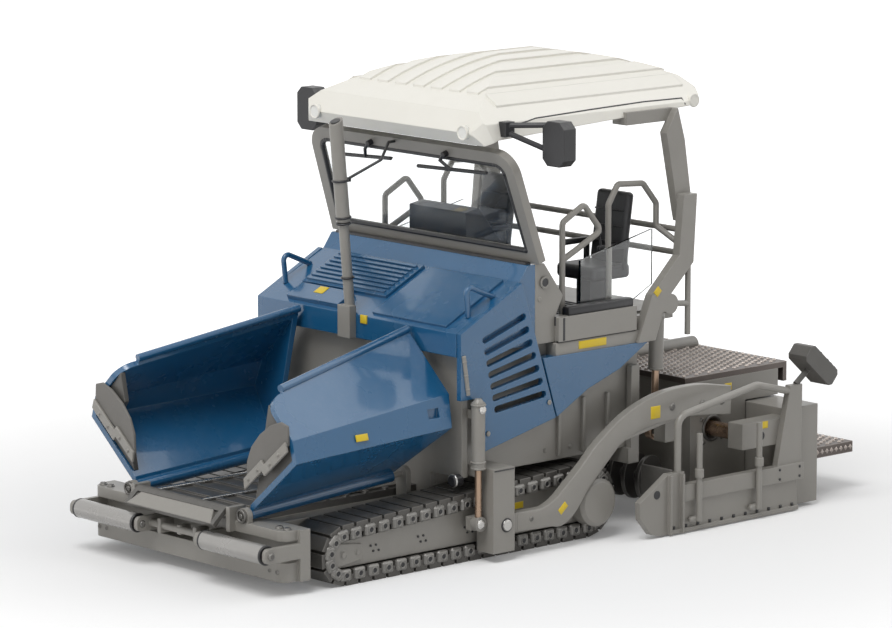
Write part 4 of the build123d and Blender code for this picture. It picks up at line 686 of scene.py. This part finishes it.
def draw_dash_instruments(bm):
    """Bezels and levers of the control console."""
    for side in DASH_DIALS:
        add_ring(bm, DASH_MIDDLE + Vector((0, side, 0)) + DASH_FACE * 0.1, DASH_FACE, 0.8, 0.16, steps=20)
    for side in (-3.6, 0.0, 3.6):
        foot = DASH_MIDDLE + Vector((-1.7, side, -2.1))
        add_pin(bm, foot, foot + Vector((-0.5, 0, 1.5)), 0.18, sides=8)
        add_ball(bm, foot + Vector((-0.55, 0, 1.7)), 0.42)


def draw_dash_faces(bm):
    """Pale dials and the screen's pane on the control console."""
    for side in DASH_DIALS:
        place = DASH_MIDDLE + Vector((0, side, 0))
        add_pin(bm, place - DASH_FACE * 0.3, place + DASH_FACE * 0.08, 0.74, sides=20)
    turn = DASH_FACE.to_track_quat("Z", "Y").to_matrix().to_4x4()
    half = Vector((1.3, 1.5, 0.12))
    add_block(bm, DASH_MIDDLE - half, DASH_MIDDLE + half, 0.06, turn)


def draw_seat_trim(bm):
    """Armrests with levers, and the seams of a seat."""
    for y in (9.1, 18.0):
        add_block(bm, (-18.4, y, 46.0), (-12.2, y + 0.9, 47.0), 0.3)
        add_block(bm, (-18.6, y + 0.15, 42.4), (-17.6, y + 0.75, 46.4), 0.12)
    add_pin(bm, (-12.8, 18.45, 46.9), (-12.5, 18.45, 49.0), 0.2, sides=8)
    add_ball(bm, (-12.45, 18.45, 49.2), 0.5)
    for z in (46.6, 49.2, 51.8):
        x = -17.55 - (z - 43.4) / 11.6 * 1.9
        add_block(bm, (x - 0.2, 10.6, z), (x + 0.08, 17.4, z + 0.25), 0.05)


ROOF_SEAM = ((12.4, 22.02, 69.0), (9.0, 21.92, 69.4), (4.9, 21.64, 70.0), (-8.0, 21.26, 70.3), (-20.0, 21.0, 70.5),
             (-28.6, 21.13, 70.4), (-28.7, 21.95, 69.4))


def draw_roof_trim(bm):
    """Joint line along the roof's side."""
    add_wire(bm, ROOF_SEAM, 0.13, sides=6)


def draw_lamp_rims(bm):
    """Pale rims of the roof's lamps."""
    add_ring(bm, (17.75, 18.2, 68.4), (1, 0, 0), 1.1, 0.18, steps=24)
    add_ring(bm, (-33.75, 18.2, 70.7), (1, 0, 0), 1.1, 0.18, steps=24)
    add_ring(bm, (-30.8, 21.9, 69.9), (0, 1, 0), 1.0, 0.16, steps=24)
    add_pin(bm, (-30.8, 20.8, 69.9), (-30.8, 22.0, 69.9), 0.95, sides=24, edge=0.1)


def draw_mirror_faces(bm):
    """Mirror glass on the side that the driver sees."""
    add_plate(bm, ((6.5, 28.3, 65.0), (6.5, 29.3, 64.0), (6.5, 31.4, 64.0), (6.5, 32.3, 65.0), (6.5, 32.3, 69.0),
                   (6.5, 31.4, 70.0), (6.5, 29.3, 70.0), (6.5, 28.3, 69.0)), (0.2, 0, 0))


def draw_rear_grille(bm):
    """Ribbed grille on the tractor's rear wall, below the platform."""
    add_block(bm, (-17.7, -11.0, 20.0), (-17.2, 11.0, 31.0), 0.15)
    for row in range(9):
        z = 20.9 + row * 1.1
        add_block(bm, (-17.95, -10.2, z), (-17.6, 10.2, z + 0.5), 0.1, Matrix.Rotation(radians(-18), 4, "Y"))


def draw_rear_bolts(bm):
    """Bolts on the rear wall and the deck's rear edge."""
    for y in (-20.5, -14.5, 14.5, 20.5):
        for z in (17.0, 31.6):
            add_bolt(bm, (-17.3, y, z), (-1, 0, 0), 0.35, 0.3)
    for y in (-15.0, -5.0, 5.0, 15.0):
        add_bolt(bm, (-27.5, y, 34.6), (-1, 0, 0), 0.3, 0.25)


def draw_flank_ribs(bm):
    """Upright ribs and bolts on the tractor's lower flank."""
    for x in (-10.5, -5.0, 0.5):
        add_block(bm, (x, 22.4, 14.2), (x + 0.6, 23.3, 23.4), 0.12)
    for x in (-12.2, -7.4, -2.0, 3.6):
        add_bolt(bm, (x, 22.6, 15.4), (0, 1, 0), 0.28, 0.25)


def draw_front_knob(bm):
    """Dark knob beside the hopper's rear corner."""
    add_pin(bm, (22.4, 22.9, 13.25), (24.4, 22.9, 13.25), 0.95, sides=24, edge=0.15)


def draw_knob_ring(bm):
    """Bright ring on the knob."""
    add_ring(bm, (24.0, 22.9, 13.25), (1, 0, 0), 0.95, 0.2, steps=24)


def draw_pivot_pins(bm):
    """Bright ends of the tow pins and of the levelling cylinders' pins."""
    add_pin(bm, (17.5, 28.5, 6.0), (17.5, 28.95, 6.0), 0.95, sides=24, edge=0.15)
    add_bolt(bm, (21.8, 27.2, 6.5), (0, 1, 0), 0.6, 0.35)
    add_bolt(bm, (21.8, 27.55, 25.2), (0, 1, 0), 0.5, 0.3)


def draw_post_rims(bm):
    """Dark ring round the tow pin and the joint line of the tow post."""
    add_ring(bm, (17.5, 28.62, 6.0), (0, 1, 0), 1.05, 0.14, steps=24)
    add_block(bm, (16.0, 28.5, 15.0), (20.2, 28.72, 15.2), 0.04)


LEVELLING = (21.8, 26.5)


def draw_levelling_sleeve(bm):
    """Copper-coloured rod of a levelling cylinder."""
    add_pin(bm, (*LEVELLING, 7.6), (*LEVELLING, 15.5), 0.56, sides=20)


def draw_levelling_collars(bm):
    """Gland and cap of a levelling cylinder."""
    for z, radius in ((15.6, 1.1), (16.6, 1.12), (25.9, 1.1)):
        add_ring(bm, (*LEVELLING, z), (0, 0, 1), radius, 0.18, steps=24)
    add_pin(bm, (*LEVELLING, 26.2), (*LEVELLING, 26.9), 1.0, tip=0.5, sides=20)


# Screed

PIP_PITCH = 1.5
PIP_RADIUS = 0.62
PIP_HEIGHT = 0.26
WALKWAY_TOP = 23.2


def draw_walkway_pips(bm):
    """Pips of the checkered walkway."""
    for inner, outer in ((-21.4, -1.6), (1.6, 21.4)):
        add_pips(bm, (-52.6, inner), (-29.8, outer), WALKWAY_TOP, PIP_PITCH, PIP_RADIUS, PIP_HEIGHT)


def draw_step_pips(bm):
    """Pips of a checkered step and its patterned edge."""
    low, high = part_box("step_left")
    low, high = low / MM, high / MM
    add_pips(bm, (low.x + 0.9, low.y + 0.5), (high.x - 1.4, high.y - 0.5), high.z, PIP_PITCH, PIP_RADIUS, PIP_HEIGHT)
    rim_pips = 9
    z = high.z - 0.95
    for number in range(rim_pips):
        along = (number + 0.5) / rim_pips
        y = low.y + along * (high.y - low.y)
        add_pin(bm, (low.x + 0.1, y, z), (low.x - 0.18, y, z), 0.6, tip=0.25, sides=4)
        x = low.x + along * (high.x - low.x - 3.0)
        add_pin(bm, (x, high.y - 0.1, z), (x, high.y + 0.18, z), 0.6, tip=0.25, sides=4)


def draw_walkway_bar(bm):
    """Round bar along the joint of the walkway's two leaves."""
    add_pin(bm, (-53.2, 0, 23.3), (-32.8, 0, 23.3), 1.42, sides=24, edge=0.2)


ARM_EDGE = ((14.6, 7.4), (8.2, 7.6), (1.6, 12.0), (-4.2, 17.0), (-13.3, 21.8), (-24.8, 23.3), (-33.9, 22.1),
            (-33.9, 17.5), (-22.4, 18.3), (-8.7, 15.9), (-2.0, 10.2), (4.4, 4.2), (8.0, 4.4), (14.6, 4.5))
ARM_CORNERS = (0, 6, 7, 13)


def draw_arm_cheeks(bm):
    """Smoothly curved outer and inner skin of a tow arm."""
    curve = bpy.data.curves.new("arm_line", "CURVE")
    curve.dimensions = "2D"
    curve.fill_mode = "BOTH"
    curve.extrude = 0.68
    curve.bevel_depth = 0.12
    curve.bevel_resolution = 2
    line = curve.splines.new("BEZIER")
    line.use_cyclic_u = True
    line.bezier_points.add(len(ARM_EDGE) - 1)
    for number, (x, z) in enumerate(ARM_EDGE):
        point = line.bezier_points[number]
        point.co = (x, z, 0)
        kind = "VECTOR" if number in ARM_CORNERS else "AUTO"
        point.handle_left_type = point.handle_right_type = kind
    holder = bpy.data.objects.new("arm_line", curve)
    bpy.context.scene.collection.objects.link(holder)
    bpy.context.view_layer.update()
    mesh = bpy.data.meshes.new_from_object(holder)
    bm.from_mesh(mesh)
    bpy.data.objects.remove(holder)
    bpy.data.curves.remove(curve)
    bpy.data.meshes.remove(mesh)
    bmesh.ops.remove_doubles(bm, verts=bm.verts, dist=0.001)
    stand = Matrix.Translation((0, 27.26, 0)) @ Matrix.Rotation(pi / 2, 4, "X")
    bmesh.ops.transform(bm, matrix=stand, verts=bm.verts)


def draw_arm_bolts(bm):
    """Bolts of the tow arms at their screed end."""
    for x, z in ((-20.2, 20.4), (-27.2, 20.0), (-31.8, 19.9)):
        add_bolt(bm, (x, 28.0, z), (0, 1, 0), 0.5, 0.35)
    add_bolt(bm, (11.6, 28.0, 6.1), (0, 1, 0), 0.36, 0.28)


def draw_arm_patches(bm):
    """Plain patches on the tow arm and on the screed's side."""
    add_block(bm, (-17.4, 27.9, 18.9), (-15.2, 28.12, 21.0), 0.04)
    add_block(bm, (3.6, 27.9, 6.3), (5.6, 28.12, 7.4), 0.04, Matrix.Rotation(radians(40), 4, "Y"))
    add_block(bm, (-40.2, 21.9, 19.9), (-38.6, 22.12, 21.1), 0.04)
    add_block(bm, (-34.9, 21.9, 16.8), (-33.5, 22.12, 17.8), 0.04)


def draw_base_trim(bm):
    """Seams and bolts on the screed's rear, and the flange round each tube."""
    add_block(bm, (-51.75, -21.0, 18.8), (-51.3, 21.0, 19.3), 0.1)
    add_block(bm, (-43.85, -9.6, 4.2), (-43.4, 9.6, 4.7), 0.1)
    for y in (-18.0, -9.0, 0.0, 9.0, 18.0):
        add_bolt(bm, (-51.5, y, 20.6), (-1, 0, 0), 0.32, 0.28)
    for y in (-8.0, 0.0, 8.0):
        add_bolt(bm, (-43.6, y, 2.4), (-1, 0, 0), 0.28, 0.25)
    tube_x, tube_z, bolt_circle = -35.6, 13.9, 3.0
    for side in (-1, 1):
        y = side * 22.0
        add_ring(bm, (tube_x, y, tube_z), (0, 1, 0), 2.05, 0.3, steps=28)
        for turn in (0.6, 2.2, 3.8, 5.4):
            place = (tube_x + bolt_circle * cos(turn), y, tube_z + bolt_circle * sin(turn))
            add_bolt(bm, place, (0, side, 0), 0.28, 0.25)


def draw_bar_rivets(bm):
    """Dark rivets and holes of an end plate, and the dots along its sole."""
    for x in (-40.8, -45.6):
        for z in (6.0, 7.6):
            add_pin(bm, (x, 32.8, z), (x, 33.1, z), 0.24, sides=10)
    add_pin(bm, (-12.3, 32.4, 7.3), (-12.3, 32.66, 7.3), 0.72, sides=18)
    add_pin(bm, (-37.9, 31.2, 13.6), (-37.9, 31.46, 13.6), 0.75, sides=18)
    for number in range(11):
        x = -16.2 - number * 2.8
        add_block(bm, (x - 0.28, 32.5, 1.0), (x + 0.28, 32.78, 1.5), 0.08)


def draw_sole_clips(bm):
    """Small clips along an end plate's sole."""
    for x in (-20.6, -34.7):
        add_block(bm, (x - 1.0, 32.5, 1.7), (x + 1.0, 33.4, 2.7), 0.25)
        add_pin(bm, (x - 1.3, 33.1, 2.2), (x + 1.3, 33.1, 2.2), 0.35, sides=12, edge=0.06)


def draw_auger_shield(bm):
    """Shield plate between the track's rear and an end plate, with a folded foot."""
    add_block(bm, (-17.2, 24.4, 2.0), (-16.6, 31.5, 10.7), 0.15)
    add_block(bm, (-17.5, 24.4, 1.8), (-16.3, 31.5, 2.3), 0.12)


def draw_box_ridges(bm):
    """Ridges, switches and rim of the operator's box on an end plate."""
    turn = Matrix.Rotation(radians(-41), 4, "Y")
    middle = Vector((-49.6, 32.0, 24.5))
    for along in (-3.0, -1.9, -0.8):
        place = middle + turn @ Vector((along, 0, 1.6))
        add_block(bm, place - Vector((0.28, 1.9, 0.2)), place + Vector((0.28, 1.9, 0.2)), 0.1, turn)
    for along, across in ((0.8, -1.1), (0.8, 0.0), (0.8, 1.1), (2.4, -0.7), (2.4, 0.7)):
        foot = middle + turn @ Vector((along, across, 1.5))
        add_pin(bm, foot, foot + turn @ Vector((0, 0, 0.55)), 0.32, sides=12, edge=0.06)


def draw_extension_trim(bm):
    """Bolts on an extension's rear wall."""
    low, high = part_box("screed_extension_left")
    low, high = low / MM, high / MM
    for y in (low.y + 2.0, (low.y + high.y) / 2, high.y - 2.0):
        for z in (4.0, 15.4):
            add_bolt(bm, (low.x, y, z), (-1, 0, 0), 0.3, 0.26)


def draw_extension_patch(bm):
    """Plain patch on an extension's outer wall."""
    add_block(bm, (-39.4, 31.3, 14.8), (-37.6, 31.5, 16.0), 0.04)


def draw_lift_collars(bm):
    """Collars of a screed lift barrel."""
    lean = Vector((0.6, 0, -21.6)).normalized()
    top = Vector((-22.1, 22.4, 37.1))
    add_ring(bm, top + lean * 11.2, lean, 1.2, 0.22, steps=24)
    add_ring(bm, top + lean * 2.6, lean, 1.2, 0.18, steps=24)


def add_fittings():
    """Every small piece that the solids leave to the dressing."""
    both = (1, -1)
    put_piece("link_blocks", draw_link_blocks, LINKS, "tractor", both)
    put_piece("link_rings", draw_link_rings, LINKS, "tractor", both)
    put_piece("link_pins", draw_link_pins, BLACK, "tractor", both)
    put_piece("frame_studs", draw_frame_studs, BLACK, "tractor", both)
    put_piece("idler_scrapers", draw_idler_scraper, GREY, "tractor", both)
    put_twins("roller_collars", draw_roller_collars, BLACK, "push_roller")
    put_piece("beam_bolts", draw_beam_bolts, STEEL, "tractor", both)
    put_piece("pipe_brackets", draw_pipe_brackets, GREY, "tractor")
    put_piece("hinge_rings", draw_hinge_rings, STEEL, "tractor", both)
    put_piece("floor_strips", draw_floor_strips, SILVER, "tractor")
    put_piece("apron_face", draw_apron_face, GREY, "apron")
    put_twins("flap_strip", draw_flap_strip, GREY, "wing")
    put_twins("flap_rubber", draw_flap_rubber, RUBBER, "wing")
    put_piece("wing_patch", draw_wing_patch, YELLOW, "wing_left")
    put_piece("screen_gasket", draw_screen_gasket, BLACK, "tractor")
    put_piece("wipers", draw_wipers, BLACK, "tractor")
    put_piece("pipe_clamp", draw_pipe_clamp, BLACK, "tractor")
    put_piece("pipe_mouth", draw_pipe_mouth, BLACK, "tractor")
    put_piece("door_trim", draw_door_trim, GREY, "tractor", both)
    put_piece("ledge_patches", draw_ledge_patch, YELLOW, "tractor", both)
    put_piece("ledges", draw_ledge, GREY, "tractor", both)
    put_piece("beam_gaps", draw_beam_gaps, BLACK, "tractor", both)
    put_piece("small_patches", draw_small_patches, YELLOW, "tractor")
    put_piece("console_ports", draw_console_port, GREY, "tractor", both)
    put_piece("console_holes", draw_console_hole, BLACK, "tractor", both)
    put_piece("side_rests", draw_side_rest, BLACK, "tractor", both)
    put_piece("deck_mat", draw_deck_mat, BLACK, "tractor")
    put_piece("dash_instruments", draw_dash_instruments, BLACK, "tractor")
    put_piece("dash_faces", draw_dash_faces, LENS, "tractor")
    put_piece("seat_trim", draw_seat_trim, BLACK, "tractor", both)
    put_piece("roof_trim", draw_roof_trim, BLACK, "tractor", both)
    put_piece("lamp_rims", draw_lamp_rims, CREAM, "tractor", both)
    put_piece("mirror_faces", draw_mirror_faces, SILVER, "tractor", both)
    put_piece("rear_grille", draw_rear_grille, BLACK, "tractor")
    put_piece("rear_bolts", draw_rear_bolts, STEEL, "tractor")
    put_piece("flank_ribs", draw_flank_ribs, GREY, "tractor", both)
    put_piece("front_knobs", draw_front_knob, BLACK, "tractor", both)
    put_piece("knob_rings", draw_knob_ring, SILVER, "tractor", both)
    put_piece("pivot_pins", draw_pivot_pins, SILVER, "tractor", both)
    put_piece("post_rims", draw_post_rims, BLACK, "tractor", both)
    put_piece("levelling_sleeves", draw_levelling_sleeve, BRONZE, "tractor", both)
    put_piece("levelling_collars", draw_levelling_collars, GREY, "tractor", both)
    put_piece("walkway_pips", draw_walkway_pips, PIPS, "screed")
    put_piece("walkway_bar", draw_walkway_bar, GREY, "screed")
    put_piece("arm_cheeks", draw_arm_cheeks, GREY, "screed", both)
    put_piece("arm_bolts", draw_arm_bolts, STEEL, "screed", both)
    put_piece("arm_patches", draw_arm_patches, YELLOW, "screed", both)
    put_piece("base_trim", draw_base_trim, STEEL, "screed")
    put_twins("step_pips", draw_step_pips, PIPS, "extension")
    put_twins("bar_rivets", draw_bar_rivets, BLACK, "extension")
    # The auger shields take the grey with painted shade
    put_twins("auger_shield", draw_auger_shield, PAINTED_SHADE_GREY, "extension")
    put_twins("sole_clips", draw_sole_clips, GREY, "extension")
    put_twins("box_ridges", draw_box_ridges, BLACK, "extension")
    put_twins("extension_trim", draw_extension_trim, STEEL, "extension")
    put_twins("extension_patch", draw_extension_patch, YELLOW, "extension")
    put_twins("lift_collars", draw_lift_collars, GREY, "lift_barrel")


# Studio

SKY = 0.32
# Floor glow is low near the machine, a painted shade round its base, and higher further out
FLOOR_GLOW = 0.11
FAR_GLOW = 0.6
SOFTBOXES = (
    ("key", (0.46, 0.2, 0.86), (0.45, 0.45), 5.1),
    ("fill", (0.75, -0.2, 0.45), (0.6, 0.6), 0.9),
    ("sheen", (-0.6, 0.3, 0.66), (0.8, 0.8), 2.2),
)


def seen_directly(tree):
    """One for rays from the camera, and for those that shiny or clear surfaces pass on."""
    path = tree.nodes.new("ShaderNodeLightPath")
    bright = math_node(tree, "MAXIMUM", path.outputs["Is Camera Ray"], path.outputs["Is Glossy Ray"])
    return math_node(tree, "MAXIMUM", bright, path.outputs["Is Transmission Ray"])


def add_studio():
    """White floor with a painted shade round the machine's base, soft sky and three softboxes."""
    scene = bpy.context.scene
    scene.view_settings.view_transform = "Standard"
    world = bpy.data.worlds.new("studio")
    world.use_nodes = True
    tree = world.node_tree
    background = tree.nodes["Background"]
    background.inputs["Color"].default_value = (1, 1, 1, 1)
    seen = seen_directly(tree)
    strength = math_node(tree, "ADD", math_node(tree, "MULTIPLY", seen, 1.0 - SKY), SKY)
    tree.links.new(strength, background.inputs["Strength"])
    scene.world = world
    for name, place, size, energy in SOFTBOXES:
        data = bpy.data.lights.new(name, "AREA")
        data.shape = "RECTANGLE"
        data.size, data.size_y = size
        data.energy = energy
        lamp = bpy.data.objects.new(name, data)
        lamp.location = place
        lamp.rotation_euler = (Vector(place) - Vector((0, 0, 0.03))).to_track_quat("Z", "Y").to_euler()
        scene.collection.objects.link(lamp)
    bm = bmesh.new()
    bmesh.ops.create_grid(bm, x_segments=1, y_segments=1, size=3.0)
    mesh = bpy.data.meshes.new("floor")
    bm.to_mesh(mesh)
    bm.free()
    floor = bpy.data.objects.new("floor", mesh)
    scene.collection.objects.link(floor)
    material = bpy.data.materials.new("floor_white")
    material.use_nodes = True
    tree = material.node_tree
    surface = tree.nodes["Principled BSDF"]
    surface.inputs["Base Color"].default_value = (0.82, 0.82, 0.82, 1)
    surface.inputs["Roughness"].default_value = 0.9
    surface.inputs["Specular IOR Level"].default_value = 0.1
    surface.inputs["Emission Color"].default_value = (1, 1, 1, 1)
    place = tree.nodes.new("ShaderNodeTexCoord")
    reach = tree.nodes.new("ShaderNodeVectorMath")
    reach.operation = "LENGTH"
    tree.links.new(place.outputs["Object"], reach.inputs[0])
    # Less glow within a few centimetres of the machine: painted shade on the floor round its base
    clear_of_painted_shade = ramp_node(tree, reach.outputs["Value"], 0.05, 0.24)
    glow = math_node(tree, "ADD", math_node(tree, "MULTIPLY", clear_of_painted_shade, FAR_GLOW), FLOOR_GLOW)
    tree.links.new(math_node(tree, "MULTIPLY", seen_directly(tree), glow), surface.inputs["Emission Strength"])
    mesh.materials.append(material)


paint_nodes()
add_fittings()
add_studio()
